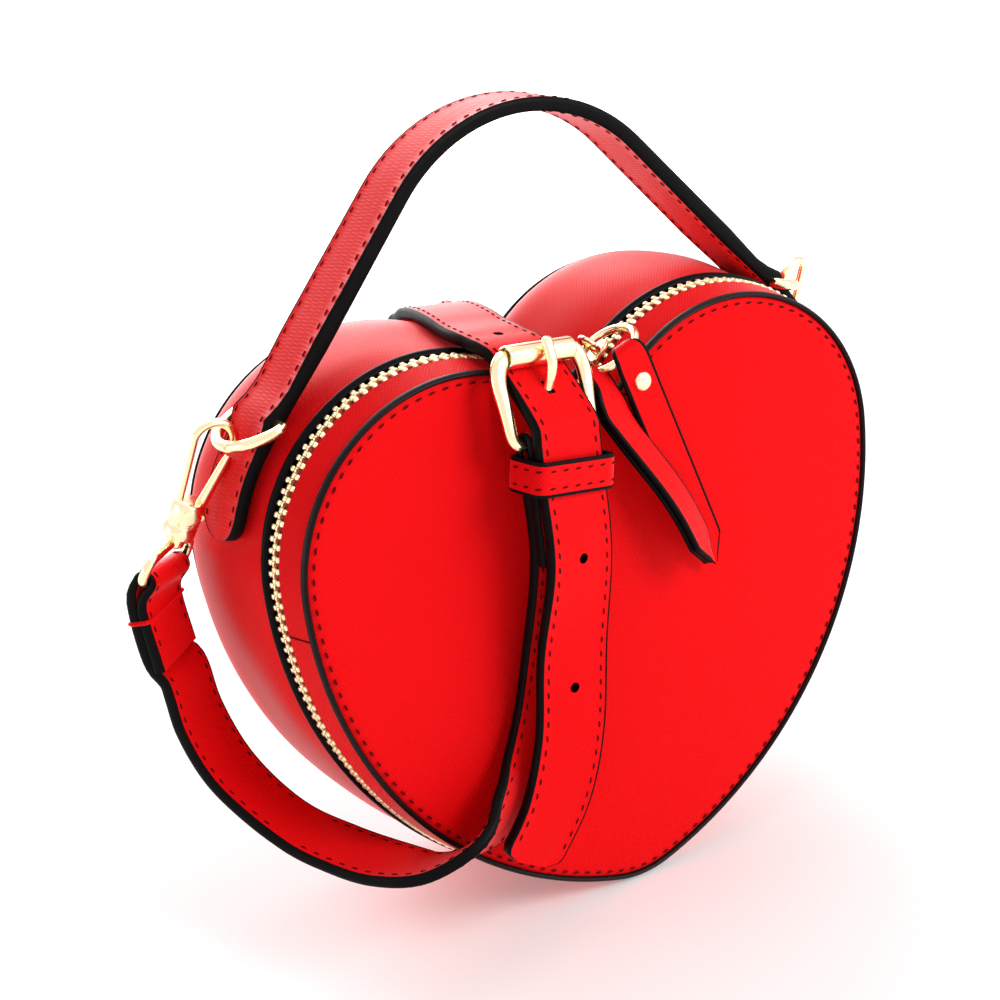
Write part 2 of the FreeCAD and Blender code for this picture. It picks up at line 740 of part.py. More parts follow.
def build_buckle_strap(frame, clasp):
    """Strap half from the left clasp, round in a hanging loop and up the front to the buckle."""
    folded, single, _ = front_stack()
    bar = clasp.bar()
    wide = strap_width
    stations = []
    for reach in (-fold_end_reach, fold_end_reach):
        stations.append((bar + clasp.down * reach, clasp.bar_way, wide, strap_fold_thickness))
    hang = vec(0, 0, -1)
    fold_end = stations[1][0] + hang * (loop_fold_length - 2 * fold_end_reach)
    stations.append((fold_end, clasp.bar_way, wide, strap_fold_thickness))
    stations.append((fold_end + hang * fold_step, clasp.bar_way, wide, strap_thickness))
    for row in loop_route_shares:
        stations.append((place(row), turned(row[3], row[4]), wide, strap_thickness))
    low = keeper_station(frame, buckle_fold_length)
    step = vec(0, 0, fold_step)
    stations.append((low + frame.ahead * (folded - single) - step, frame.level, wide, strap_thickness))
    stations.append((low, frame.level, wide, strap_fold_thickness))
    stations.append((keeper_station(frame, strap_level_drop), frame.level, wide, strap_fold_thickness))
    stations.append((frame.bar, frame.across, wide, strap_fold_thickness))
    stations.append((frame.at(0, fold_end_reach), frame.across, wide, strap_fold_thickness))
    strap = ribbon(stations)
    bar_half = clasp.bar_way * loop_half_width
    strap = strap.cut(rod(bar - bar_half, bar + bar_half, loop_wire_radius + strap_gap))
    ends = [frame.at(s * buckle_half_width, 0) for s in (-1, 1)]
    strap = strap.cut(rod(ends[0], ends[1], hinge_bar_radius + strap_gap))
    axes = (frame.across, frame.up, frame.out)
    slot = (prong_eye_width + 2 * prong_slot_gap, 2 * prong_slot_reach, 2 * prong_slot_reach)
    strap = strap.cut(slab(frame.at(0, fold_step), axes, slot))
    save("buckle_strap", strap)


def top_run(y):
    """Middle of the strap where it crosses over the top, its left edge resting on the lobe."""
    tilt = math.radians(top_run_tilt_angle)
    x = top_run_x_share * half_width
    edge = x - strap_width / 2 * math.cos(tilt)
    round_reach = lobe_radius + gusset_growth(y) + top_run_clearance
    seat = lobe_z + math.sqrt(round_reach ** 2 - (lobe_spread + edge) ** 2)
    rise = strap_thickness / 2 - strap_width / 2 * math.sin(tilt)
    return vec(x, y, seat + rise), vec(math.cos(tilt), 0, -math.sin(tilt))


def build_punched_strap(frame, clasp):
    """Strap half from the right clasp, behind the bag, over the top, through the buckle and down."""
    folded, _, tail = front_stack()
    ahead = frame.ahead * (folded - tail)
    wide = strap_width
    bar = clasp.bar()
    stations = []
    for reach in (-fold_end_reach, fold_end_reach):
        stations.append((bar + clasp.down * reach, clasp.bar_way, wide, strap_fold_thickness))
    for row in back_route_shares:
        thick = strap_fold_thickness if row is back_route_shares[0] else strap_thickness
        stations.append((place(row), turned(row[3]), wide, thick))
    for share in top_run_shares:
        point, aim = top_run(share * half_depth)
        stations.append((point, aim, wide, strap_thickness))
    under = -(roller_radius + roller_under_gap + strap_thickness / 2)
    over = strap_fold_thickness / 2 + strap_gap + strap_thickness / 2
    stations.append((frame.at(0, buckle_length, under), frame.across, wide, strap_thickness))
    stations.append((frame.at(0, strap_bend_reach, over), frame.across, wide, strap_thickness))
    stations.append((frame.at(0, 0, over), frame.across, wide, strap_thickness))
    low = keeper_station(frame, buckle_fold_length)
    stations.append((keeper_station(frame, strap_level_drop) + ahead, frame.level, wide, strap_thickness))
    stations.append((low + ahead, frame.level, wide, strap_thickness))
    for row in reversed(tail_route_shares):
        stations.append((place(row), vec(1, 0, 0), wide, strap_thickness))
    strap = ribbon(stations)
    bar_half = clasp.bar_way * loop_half_width
    strap = strap.cut(rod(bar - bar_half, bar + bar_half, loop_wire_radius + strap_gap))
    axes = (frame.across, frame.up, frame.out)
    slot = (2 * (prong_radius + strap_gap), prong_hole_length, prong_hole_length)
    strap = strap.cut(slab(frame.at(0, buckle_length / 2), axes, slot))
    for i in range(hole_count):
        z = low.z + fold_step - i * hole_pitch
        hole = Part.makeCylinder(strap_hole_radius, bag_depth, vec(low.x - i * fold_end_reach, -bag_depth, z),
                                 vec(0, 1, 0))
        band = block(-half_width, half_width, tail - strap_thickness, tail + strap_thickness, 0, lobe_z * 2)
        strap = strap.cut(hole.common(band))
    save("punched_strap", strap)


# Zip sliders and pulls

class ZipFrame:
    """Axes at a place on the zip: along it, out of it, and through the bag."""

    def __init__(self, centre, out):
        self.centre = centre
        self.out = out
        self.along = vec(out.z, 0, -out.x)
        self.through = vec(0, 1, 0)

    def at(self, along, out):
        """Point from the heart's own outline."""
        return self.centre + self.along * along + self.out * out


def running_zip_frame():
    """Where the running slider rests, on the right lobe beside the dip."""
    angle = math.radians(slider_angle)
    out = vec(math.cos(angle), 0, math.sin(angle))
    centre = vec(lobe_spread, zip_y, lobe_z) + out * lobe_radius
    return ZipFrame(centre, out)


def parked_zip_frame():
    """Where the other slider is parked, in the bottom of the dip."""
    x = parked_slider_x_share * half_width
    angle = math.asin(x / dip_radius)
    out = vec(-math.sin(angle), 0, math.cos(angle))
    centre = vec(0, zip_y, dip_z) - out * dip_radius
    return ZipFrame(centre, out)


def slider_solid(frame, length, bail):
    """Two plates joined by a thin post, with an eye on top for the pull ring."""
    axes = (frame.along, frame.out, frame.through)
    top_low = tooth_high_growth + slider_gap
    under_high = tape_growth - tape_thickness - slider_gap
    width = 2 * slider_half_width
    top = slab(frame.at(0, top_low + slider_plate / 2), axes, (length, slider_plate, width))
    under = slab(frame.at(0, under_high - slider_plate / 2), axes, (length, slider_plate, width))
    tall = top_low - under_high + 2 * slider_plate
    post = slab(frame.at(0, (top_low + under_high) / 2), axes, (length / 2, tall, slider_post))
    solid = top.fuse([under, post])
    if bail:
        eye_out = top_low + slider_plate + bail_rise
        half = frame.along * (bail_thickness / 2)
        eye = frame.at(0, eye_out)
        ear = rod(eye - half, eye + half, bail_hole_radius + bail_wall)
        foot = slab(frame.at(0, top_low + slider_plate), axes, (bail_thickness, slider_plate, 2 * bail_hole_radius))
        hole = rod(eye - frame.along * overrun, eye + frame.along * overrun, bail_hole_radius)
        solid = solid.fuse([ear, foot]).cut(hole)
    return solid


def turned_up(degrees):
    """Direction in the plane of the panel at an angle above +X."""
    return vec(math.cos(math.radians(degrees)), 0, math.sin(math.radians(degrees)))


def pull_axes():
    """Way the pulls hang and the way across them, both level with the panel."""
    across = turned_up(pull_angle)
    return vec(across.z, 0, -across.x), across


def pull_blade(top, length, thickness):
    """Flat leather pull with a pointed end, its front face at the given top edge."""
    hang, across = pull_axes()
    half = across * (pull_width / 2)
    shoulder = top + hang * (length - pull_point)
    points = [top - half, top + half, shoulder + half, top + hang * length, shoulder - half, top - half]
    return Part.Face(Part.makePolygon(points)).extrude(vec(0, thickness, 0))


def build_zip_pulls():
    """Both sliders, the ring, the two leather pulls and the rivet."""
    frame = running_zip_frame()
    save("zip_slider_right", slider_solid(frame, slider_length, True))
    save("zip_slider_left", slider_solid(parked_zip_frame(), parked_slider_length, False))
    hang, across = pull_axes()
    eye = frame.at(0, tooth_high_growth + slider_gap + slider_plate + bail_rise)
    ring_centre = eye - vec(0, pull_ring_radius, 0)
    axis = turned_up(pull_ring_angle).cross(vec(0, 1, 0))
    save("pull_ring", Part.makeTorus(pull_ring_radius, pull_ring_wire, ring_centre, axis))
    wire = ring_centre - vec(0, pull_ring_radius, 0)
    total = pull_pocket_gap + 2 * pull_layer
    top = wire - hang * (pull_ring_wire + pull_ring_drop + pull_layer)
    head_front = top - vec(0, total / 2, 0)
    front_layer = 2 * pull_layer
    blade = pull_blade(head_front, pull_length, front_layer)
    head_height = pull_pocket_height + pull_layer + front_layer
    axes = (across, hang, vec(0, 1, 0))
    head = slab(top + hang * (head_height / 2), axes, (pull_tongue_width, head_height, total))
    pocket_centre = top + hang * (pull_layer + pull_pocket_height / 2)
    pocket = slab(pocket_centre, axes, (pull_width + overrun, pull_pocket_height, pull_pocket_gap))
    save("pull_tab_front", blade.fuse(head).cut(pocket))
    rivet_seat = head_front + hang * (rivet_down + pull_layer)
    save("pull_rivet", rod(rivet_seat, rivet_seat - vec(0, rivet_height, 0), rivet_radius))
    rear_top = top + hang * rear_pull_drop - across * rear_pull_shift
    rear_front = -half_depth - piping_radius + panel_inset - rear_pull_stand - rear_pull_thickness
    rear_top = vec(rear_top.x, rear_front, rear_top.z)
    save("pull_tab_rear", pull_blade(rear_top, rear_pull_length, rear_pull_thickness))


os.makedirs("parts", exist_ok=True)
build_body()
build_front()
build_handle()
build_d_ring(-1, "d_ring_left")
build_d_ring(1, "d_ring_right")
clasps = clasp_frames()
for clasp_name, clasp_frame in clasps.items():
    build_clasp(clasp_name, clasp_frame)
buckle = BuckleFrame()
build_buckle(buckle)
build_keeper(buckle)
build_buckle_strap(buckle, clasps["left"])
build_punched_strap(buckle, clasps["right"])
build_zip_pulls()
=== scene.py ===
import json
import math

import bmesh
import bpy
import numpy as np
from bpy.props import FloatProperty, FloatVectorProperty, PointerProperty
from mathutils import Matrix, Vector


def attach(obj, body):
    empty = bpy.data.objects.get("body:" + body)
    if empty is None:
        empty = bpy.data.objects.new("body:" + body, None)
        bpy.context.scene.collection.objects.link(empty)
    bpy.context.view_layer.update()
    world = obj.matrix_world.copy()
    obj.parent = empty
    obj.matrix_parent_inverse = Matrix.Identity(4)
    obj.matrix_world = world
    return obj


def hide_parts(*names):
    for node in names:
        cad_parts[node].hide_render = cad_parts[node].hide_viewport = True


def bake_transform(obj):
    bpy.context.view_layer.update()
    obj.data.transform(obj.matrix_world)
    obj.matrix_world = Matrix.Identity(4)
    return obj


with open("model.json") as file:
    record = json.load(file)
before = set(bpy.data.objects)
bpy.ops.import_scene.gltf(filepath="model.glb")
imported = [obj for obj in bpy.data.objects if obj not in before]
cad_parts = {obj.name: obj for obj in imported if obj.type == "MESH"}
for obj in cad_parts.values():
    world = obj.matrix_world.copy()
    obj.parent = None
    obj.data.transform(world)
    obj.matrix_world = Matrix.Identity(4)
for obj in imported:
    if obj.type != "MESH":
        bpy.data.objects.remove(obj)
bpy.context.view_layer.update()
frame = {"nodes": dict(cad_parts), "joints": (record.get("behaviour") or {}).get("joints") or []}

bl_info = {
    "name": "Heart shaped purse",
    "version": (1, 0, 0),
    "blender": (4, 5, 0),
    "location": "3D View > Sidebar > Purse",
    "description": "Dresses the frame of a heart shaped purse in leather, edge paint, zip and gilt fittings",
    "category": "Object",
}

GRAIN_MAP = "Grain"
BACKWARD = np.array([0.0, 1.0, 0.0])
UPWARD = np.array([0.0, 0.0, 1.0])
# Edges that bend by more than this, in degrees, are shaded hard
CREASE = 40.0
MERGED_CREASE = 45.0
TURNED_CREASE = 50.0
PANEL_CREASE = 60.0


def length(description, default):
    """A size in metres."""
    return FloatProperty(description=description, default=default, unit="LENGTH", precision=4)


def share(description, default):
    """A plain ratio."""
    return FloatProperty(description=description, default=default, subtype="FACTOR")


def angle(description, degrees):
    """An angle given in degrees."""
    return FloatProperty(description=description, default=math.radians(degrees), unit="ROTATION")


def colour(description, default):
    """A linear colour."""
    return FloatVectorProperty(description=description, default=default, subtype="COLOR", min=0, max=1)


class PurseHeart(bpy.types.PropertyGroup):
    """Outline and depth of the bag"""
    panel_width: length("Width of the front panel", 0.205)
    lobe_spread: length("From the middle to a lobe's centre", 0.0495)
    lobe_rise: length("Height of the lobes' centres over the tip", 0.1265)
    side_radius: length("Radius of the long sides", 0.130)
    tip_radius: length("Radius of the tip", 0.0329)
    dip_radius: length("Radius in the dip between the lobes", 0.0152)
    floor_lift: length("Height of the panel's tip over the floor", 0.0018)
    bag_depth: length("From the front panel to the back panel", 0.074)
    outline_step: length("Spacing of the points round the outline", 0.0020)
    panel_dome: length("Swell of a panel's middle", 0.0009)
    panel_roll: length("Width of the rolled edge of a panel", 0.0040)


class PurseSheets(bpy.types.PropertyGroup):
    """Gusset, strips, edging and lining"""
    gusset_wall: length("Thickness of the gusset", 0.0022)
    gusset_crown: length("How far the gusset swells", 0.0058)
    gusset_edge: length("Swell of the gusset at its front edge", 0.0034)
    gusset_tail: length("Swell of the gusset at the back", 0.0026)
    gusset_setback: length("From the front to the gusset's front edge", 0.0218)
    gusset_end_gap: length("From the gusset's back edge to the back", 0.0024)
    gusset_slack: length("Depth of the soft dents in the gusset", 0.0007)
    panel_thickness: length("Thickness of the front and back leather", 0.0024)
    panel_inset: length("From the outline to the panel's edge", 0.0006)
    back_growth: length("Growth of the back panel over the outline", 0.0006)
    edging_radius: length("Radius of the back edging", 0.0011)
    front_edging_radius: length("Half the thickness of the front edging", 0.0009)
    front_edging_stretch: share("Depth of the front edging in thicknesses", 1.7)
    front_edging_depth: length("From the front to the front edging's centre", 0.0010)
    front_edging_growth: length("Growth of the front edging's centre", 0.0003)
    back_edging_growth: length("Growth of the back edging's centre", 0.0019)
    rim_radius: length("Radius of the edging behind the zip", 0.0017)
    rim_growth: length("Growth of the edging behind the zip", 0.0026)
    rim_setback: length("From the front to the edging behind the zip", 0.0200)
    strip_wall: length("Thickness of the strip beside the zip", 0.0016)
    strip_front_growth: length("Growth of the strip at the panel", 0.0004)
    strip_rear_growth: length("Growth of the strip at the zip", 0.0026)
    seam_height: length("Height of the seam across the strip", 0.116)
    strip_to_zip: length("From the strip to the zip's middle", 0.0032)
    hinge_half: length("Half the width of the strip under the tip", 0.0380)
    hinge_gap: length("Gap at the ends of the strip under the tip", 0.0005)
    fold_gap: length("Gap between strip and panel", 0.0001)
    lining_gap: length("From the gusset's inside to the lining", 0.00005)
    lining_thickness: length("Thickness of the lining", 0.0008)
    lining_inset: length("Inset of the flat linings", 0.0024)
    board_thickness: length("Thickness of the stiffening boards", 0.0014)


class PurseZip(bpy.types.PropertyGroup):
    """Zip round the front"""
    setback: length("From the front to the zip's middle", 0.0150)
    pitch: length("From one tooth to the next on one side", 0.0034)
    tooth_width: length("Width of a tooth along the zip", 0.0018)
    tooth_reach: length("Length of a tooth across the zip", 0.0036)
    tooth_overlap: length("How far a tooth passes the middle", 0.0006)
    tooth_low: length("Growth of the teeth's undersides", 0.0013)
    tooth_high: length("Growth of the teeth's tops", 0.0033)
    tape_rise: length("Growth of the tape under the teeth", 0.0019)
    tape_reach: length("Width of one tape", 0.0052)
    tape_thickness: length("Thickness of the tape", 0.0008)
    tape_growth: length("Growth of the tape's outside", 0.00025)
    half_gap: length("From the middle to a tape's edge", 0.0008)


class PurseStrap(bpy.types.PropertyGroup):
    """Handle, shoulder strap, pulls and their stitches"""
    width: length("Width of the shoulder strap", 0.024)
    thickness: length("Thickness of the shoulder strap", 0.0034)
    fold_offset: length("From the middle of a fold to the middle of each half", 0.0018)
    loop_fold: length("Length of the fold round a clasp's loop", 0.030)
    buckle_fold: length("Length of the fold round the buckle's bar", 0.035)
    paint: length("Width of the painted edge on a face", 0.0011)
    handle_width: length("Width of the handle", 0.022)
    handle_thickness: length("Thickness of the handle's sewn ends", 0.0038)
    handle_swell: length("Extra thickness of the handle between its ends", 0.0012)
    handle_apex: length("Height of the handle's top", 0.2493)
    handle_top_radius: length("Outer radius of the handle's top", 0.0576)
    handle_centre: length("Depth of the handle's middle", 0.001)
    handle_seat_gap: length("Gap between the gusset and the handle's ends", 0.0002)
    tab_corner: length("Corner radius of the handle's sewn ends", 0.009)
    stitch: length("Length of one stitch", 0.0021)
    stitch_pitch: length("From one stitch to the next", 0.0045)
    stitch_radius: length("Half the thickness of the thread", 0.00027)
    stitch_inset: length("From a strap's edge to its stitches", 0.0027)
    panel_stitch_inset: length("From the outline to the panel's stitches", 0.0022)
    route_step: length("Spacing of the cross sections along a strap", 0.0020)


class PurseClasp(bpy.types.PropertyGroup):
    """D-rings and swivel clasps"""
    ring_wire: length("Radius of a D-ring's wire", 0.00175)
    ring_reach: length("Radius of a D-ring's bow", 0.014)
    ring_droop: angle("How far a D-ring hangs below level", 18.7)
    crown: length("Radius of the hook's bend", 0.0062)
    barrel_radius: length("Radius of the barrel", 0.0050)
    barrel_top: length("From the crown's centre to the barrel", 0.0195)
    barrel_bottom: length("From the crown's centre to the barrel's end", 0.0315)
    pivot_out: length("From the clasp's middle to the gate's pin", 0.0032)
    pivot_down: length("From the crown's centre down to the gate's pin", 0.0228)
    gate_tip: length("From the crown's centre down to the gate's tip", 0.0035)
    gate_wire: length("Radius of the gate", 0.0014)
    eye_radius: length("Radius of the gate's eye", 0.0021)
    eye_width: length("Width of the gate's eye", 0.0030)
    loop_wire: length("Radius of the strap loop's wire", 0.0015)
    loop_half: length("Half the width of the strap loop", 0.0138)
    neck_half: length("Half the width of the strap loop's neck", 0.0030)
    neck_down: length("From the crown's centre to the neck", 0.0336)
    shoulder_down: length("From the crown's centre to the loop's shoulders", 0.0370)
    bar_down: length("From the crown's centre to the loop's bar", 0.0445)


class PurseBuckle(bpy.types.PropertyGroup):
    """Buckle and keeper"""
    half_width: length("From the middle to a side's centre", 0.0152)
    wire: length("Half the width of the sides at the roller", 0.0027)
    wire_low: length("Half the width of the sides at the hinge bar", 0.0019)
    bow: length("How far the sides bow out", 0.0014)
    hinge_bar: length("Radius of the hinge bar", 0.00175)
    roller_bar: length("Radius of the bar in the roller", 0.0020)
    roller_radius: length("Radius of the roller", 0.0035)
    roller_length: length("Length of the roller", 0.025)
    prong_radius: length("Half the width of the prong", 0.0018)
    prong_eye: length("Radius of the prong's eye", 0.0032)
    prong_eye_width: length("Width of the prong's eye", 0.0040)
    fold_thickness: length("Thickness of the folded strap", 0.0070)
    strap_gap: length("Gap between the tail and the fold", 0.0004)
    under_gap: length("Gap between the roller and the strap behind it", 0.0015)
    keeper_height: length("Height of the keeper", 0.0104)
    keeper_wall: length("Thickness of the keeper", 0.0015)
    keeper_side_gap: length("Gap beside the strap in the keeper", 0.0016)
    keeper_tilt: angle("Turn of the keeper in the panel's plane", 11.0)
    keeper_face_gap: length("Gap before and behind the strap in the keeper", 0.0008)
    keeper_drop: length("From the hinge bar down to the keeper", 0.0040)
    level_drop: length("From the hinge bar down to where the straps run straight", 0.0070)


class PursePulls(bpy.types.PropertyGroup):
    """Zip sliders and pulls"""
    slider_angle: angle("Place of the running slider on the right lobe", 131.0)
    slider_length: length("Length of the running slider", 0.0084)
    slider_half: length("Half the width of a slider", 0.0030)
    parked_share: share("Place of the parked slider in half widths", -0.03)
    parked_length: length("Length of the parked slider", 0.0050)
    plate: length("Thickness of a slider's plates", 0.0015)
    gap: length("Gap between slider and zip", 0.0004)
    bail_rise: length("From the top plate to the eye of its bail", 0.0031)
    bail_radius: length("Radius of the bail's middle line", 0.0034)
    bail_wire: length("Radius of the bail's wire", 0.0008)
    ring_radius: length("Radius of the pull ring", 0.0095)
    ring_wire: length("Radius of the pull ring's wire", 0.00125)
    ring_angle: angle("Turn of the pull ring", 30.0)
    pull_angle: angle("Slope of the pulls' top edges", 18.4)
    width: length("Width of a pull", 0.012)
    reach: length("Length of the front pull", 0.081)
    point: length("Length of a pull's pointed end", 0.009)
    layer: length("Thickness of one layer of a pull", 0.0012)
    rear_layer: length("Thickness of one layer of the rear pull", 0.0017)
    pocket: length("Gap for the ring between the layers", 0.0042)
    pocket_height: length("Height of the gap for the ring", 0.0090)
    ring_drop: length("From the ring to the top of its pocket", 0.0012)
    tongue: length("Width of the fold round the ring", 0.0058)
    rivet_radius: length("Radius of the rivet", 0.0030)
    rivet_height: length("Height of the rivet", 0.0016)
    rivet_down: length("From the pull's top to the rivet", 0.0122)


class PurseFinish(bpy.types.PropertyGroup):
    """Colours"""
    leather: colour("Red leather", (0.86, 0.005, 0.007))
    leather_shade: colour("Red leather in its grain", (0.60, 0.002, 0.004))
    paint: colour("Painted edges and edging", (0.0022, 0.0018, 0.0020))
    edging: colour("Roll round the front", (0.010, 0.0035, 0.0045))
    thread: colour("Stitches", (0.11, 0.001, 0.003))
    gold: colour("Pale gold fittings", (1.0, 0.86, 0.55))
    zip_gold: colour("Zip teeth", (1.0, 0.86, 0.55))
    tape: colour("Zip tape", (0.62, 0.004, 0.008))
    lining: colour("Lining cloth", (0.035, 0.030, 0.032))
    board: colour("Stiffening board", (0.45, 0.38, 0.29))


class PurseStage(bpy.types.PropertyGroup):
    """Camera, floor and light"""
    azimuth: angle("Camera's turn about the bag", -30.15)
    elevation: angle("Camera's height over the horizon", 20.06)
    roll: angle("Camera's roll", -6.91)
    distance: length("From the camera to its aim", 0.66206)
    aim_depth: length("Depth of the aim before its shift", 0.003)
    aim_height: length("Height of the aim before its shift", 0.0918)
    aim_right: length("Shift of the aim to the right", -0.0120)
    aim_up: length("Shift of the aim upward", 0.02829)
    lens: FloatProperty(description="Focal length", default=73.35, unit="CAMERA")
    floor_reach: length("Half the floor's width", 8.0)
    room_level: share("Strength of the room's own light", 0.30)
    gloss_level: share("Strength of the room in reflections", 1.0)


def sizes(name):
    """One group of the scene's purse settings."""
    return getattr(bpy.context.scene, "purse_" + name)


# Meshes

def link(name, mesh, materials):
    """A new object in the scene with these materials."""
    piece = bpy.data.objects.new(name, mesh)
    for material in materials:
        mesh.materials.append(material)
    bpy.context.scene.collection.objects.link(piece)
    return piece


def finish_mesh(mesh, crease=CREASE):
    """Normals outward, smooth faces and hard edges over an angle."""
    work = bmesh.new()
    work.from_mesh(mesh)
    bmesh.ops.recalc_face_normals(work, faces=work.faces)
    work.to_mesh(mesh)
    work.free()
    mesh.polygons.foreach_set("use_smooth", [True] * len(mesh.polygons))
    mesh.set_sharp_from_angle(angle=math.radians(crease))
    mesh.update()


def running(points):
    """Length along a run of points."""
    steps = np.linalg.norm(np.diff(points, axis=0), axis=1)
    return np.concatenate([[0.0], np.cumsum(steps)])


def grid_piece(name, points, materials, wrap_along=False, wrap_across=True, strips=None, poles=None,
               crease=CREASE):
    """A grid of points (along, across) as one closed mesh, with caps or poles where it doesn't wrap."""
    count, rows = points.shape[:2]
    verts = [tuple(p) for p in points.reshape(-1, 3)]
    along = running(np.vstack([points[:, 0], points[:1, 0]]))
    across = running(np.vstack([points[0], points[:1, 0]]))
    faces, places, marks = [], [], []
    for i in range(count if wrap_along else count - 1):
        after = (i + 1) % count
        for j in range(rows if wrap_across else rows - 1):
            beside = (j + 1) % rows
            faces.append((i * rows + j, after * rows + j, after * rows + beside, i * rows + beside))
            places.append(((along[i], across[j]), (along[i + 1], across[j]),
                           (along[i + 1], across[j + 1]), (along[i], across[j + 1])))
            marks.append(strips[j] if strips else 0)
    if wrap_across and not wrap_along:
        for i in (0, count - 1):
            ring = [i * rows + j for j in range(rows)]
            faces.append(tuple(ring))
            places.append(tuple((across[j], across[j]) for j in range(rows)))
            marks.append(len(materials) - 1)
    if poles:
        for j, pole in ((0, poles[0]), (rows - 1, poles[1])):
            verts.append(tuple(pole))
            for i in range(count):
                after = (i + 1) % count
                faces.append((i * rows + j, after * rows + j, len(verts) - 1))
                places.append(((along[i], across[j]), (along[i + 1], across[j]), (along[i], across[j])))
                marks.append(strips[min(j, rows - 2)] if strips else 0)
    mesh = bpy.data.meshes.new(name)
    mesh.from_pydata(verts, [], faces)
    layer = mesh.uv_layers.new(name=GRAIN_MAP)
    layer.uv.foreach_set("vector", np.array([c for f in places for c in f], np.float32).ravel())
    piece = link(name, mesh, materials)
    mesh.polygons.foreach_set("material_index", marks)
    finish_mesh(mesh, crease)
    return piece


def copies_piece(name, template, places, materials):
    """One mesh of many copies of a small closed mesh, each given by its origin and three axes."""
    shape, faces = template
    verts, all_faces = [], []
    for origin, axes in places:
        start = len(verts)
        verts.extend(map(tuple, origin + shape @ axes))
        all_faces.extend(tuple(start + k for k in face) for face in faces)
    mesh = bpy.data.meshes.new(name)
    mesh.from_pydata(verts, [], all_faces)
    piece = link(name, mesh, materials)
    finish_mesh(mesh)
    return piece


def template_of(work):
    """Points and faces of a bmesh, which is then freed."""
    work.verts.ensure_lookup_table()
    shape = np.array([v.co for v in work.verts])
    faces = [tuple(v.index for v in face.verts) for face in work.faces]
    work.free()
    return shape, faces


def unit(v):
    """The direction of a vector, or of each row."""
    v = np.asarray(v, float)
    return v / np.linalg.norm(v, axis=-1, keepdims=True)


def ways(points, closed):
    """Direction of a run at each of its points."""
    if closed:
        return unit(np.roll(points, -1, axis=0) - np.roll(points, 1, axis=0))
    return unit(np.gradient(points, axis=0))


def read_off(spots, run, rows):
    """Rows of three numbers at spots along a run."""
    return np.stack([np.interp(spots, run, rows[:, k]) for k in range(3)], axis=1)


def settle(piece, body, slot, *nodes):
    """The piece rides on a body and stands for CAD nodes, which are hidden; the slot is not used."""
    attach(piece, body)
    if nodes:
        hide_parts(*nodes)
    return piece


# Heart outline

LEAST_ARC_STEPS = 6


class Heart:
    """The heart outline as tangent arcs, sampled from the dip round the right side to the tip and back."""

    def __init__(self):
        s = sizes("heart")
        half_width = s.panel_width / 2
        self.half_depth = s.bag_depth / 2
        self.half_width = half_width
        self.spread = s.lobe_spread
        self.lobe_radius = half_width - s.lobe_spread
        self.lobe_z = s.floor_lift + s.lobe_rise
        tip_z = s.floor_lift + s.tip_radius
        dip_z = self.lobe_z + math.sqrt((self.lobe_radius + s.dip_radius) ** 2 - s.lobe_spread ** 2)
        side_x, side_z = self.side_centre(s, tip_z)
        dip_angle = math.atan2(dip_z - self.lobe_z, -s.lobe_spread)
        side_angle = math.atan2(self.lobe_z - side_z, s.lobe_spread - side_x)
        tip_angle = math.atan2(tip_z - side_z, -side_x)
        arcs = (
            (0, dip_z, s.dip_radius, -1, -math.pi / 2, dip_angle - math.pi),
            (s.lobe_spread, self.lobe_z, self.lobe_radius, 1, dip_angle, side_angle),
            (side_x, side_z, s.side_radius, 1, side_angle, tip_angle),
            (0, tip_z, s.tip_radius, 1, tip_angle, -math.pi / 2),
        )
        rows = []
        for x, z, radius, sign, start, end in arcs:
            count = max(LEAST_ARC_STEPS, round(abs(end - start) * radius / s.outline_step))
            for turn in np.linspace(start, end, count, endpoint=False):
                rows.append((x, z, radius, sign, math.cos(turn), math.sin(turn)))
        rows.append((0, tip_z, s.tip_radius, 1, 0, -1))
        right = np.array(rows)
        left = right[1:-1][::-1] * (-1, 1, 1, 1, -1, 1)
        rows = np.vstack([right, left])
        self.centre = rows[:, :2]
        self.radius = rows[:, 2]
        self.sign = rows[:, 3]
        self.way = rows[:, 4:]
        self.out = self.way * self.sign[:, None]
        self.dip_z = dip_z

    def side_centre(self, s, tip_z):
        """Centre of the right side's arc."""
        lobe_gap = s.side_radius - self.lobe_radius
        tip_gap = s.side_radius - s.tip_radius
        down = tip_z - self.lobe_z
        apart = math.hypot(s.lobe_spread, down)
        along = (lobe_gap ** 2 - tip_gap ** 2 + apart ** 2) / (2 * apart)
        off = math.sqrt(lobe_gap ** 2 - along ** 2)
        ux, uz = -s.lobe_spread / apart, down / apart
        return s.lobe_spread + ux * along + uz * off, self.lobe_z + uz * along - ux * off

    def at(self, growth):
        """Points (x, z) of the outline grown outward."""
        return self.centre + self.way * (self.radius + self.sign * growth)[:, None]

    def near_tip(self, half):
        """Which points lie under the tip."""
        flat = self.at(0)
        return (np.abs(flat[:, 0]) < half) & (flat[:, 1] < self.lobe_z / 3)

    def beside_tip(self, half):
        """Order of the points that leaves out the stretch under the tip."""
        keep = ~self.near_tip(half)
        first = next(i for i in range(len(keep)) if keep[i] and not keep[i - 1])
        order = [(first + k) % len(keep) for k in range(len(keep))]
        return [i for i in order if keep[i]]

    def under_tip(self, half):
        """Order of the points under the tip."""
        return list(np.flatnonzero(self.near_tip(half)))


# Waves of the soft dents: millimetres along the gusset to a radian, radians across it, shifts and shares
DENT_ALONG = (17.0, 9.3)
DENT_ACROSS = (7.0, 5.0)
DENT_SHIFT = (0.6, 1.3)
DENT_SECOND = 0.8
DENT_LEVEL = 0.55
# Sides of a round profile, and how far a sheet's two edges bulge together in thicknesses
ROUND_SIDES = 14
SHEET_NIP = 0.35


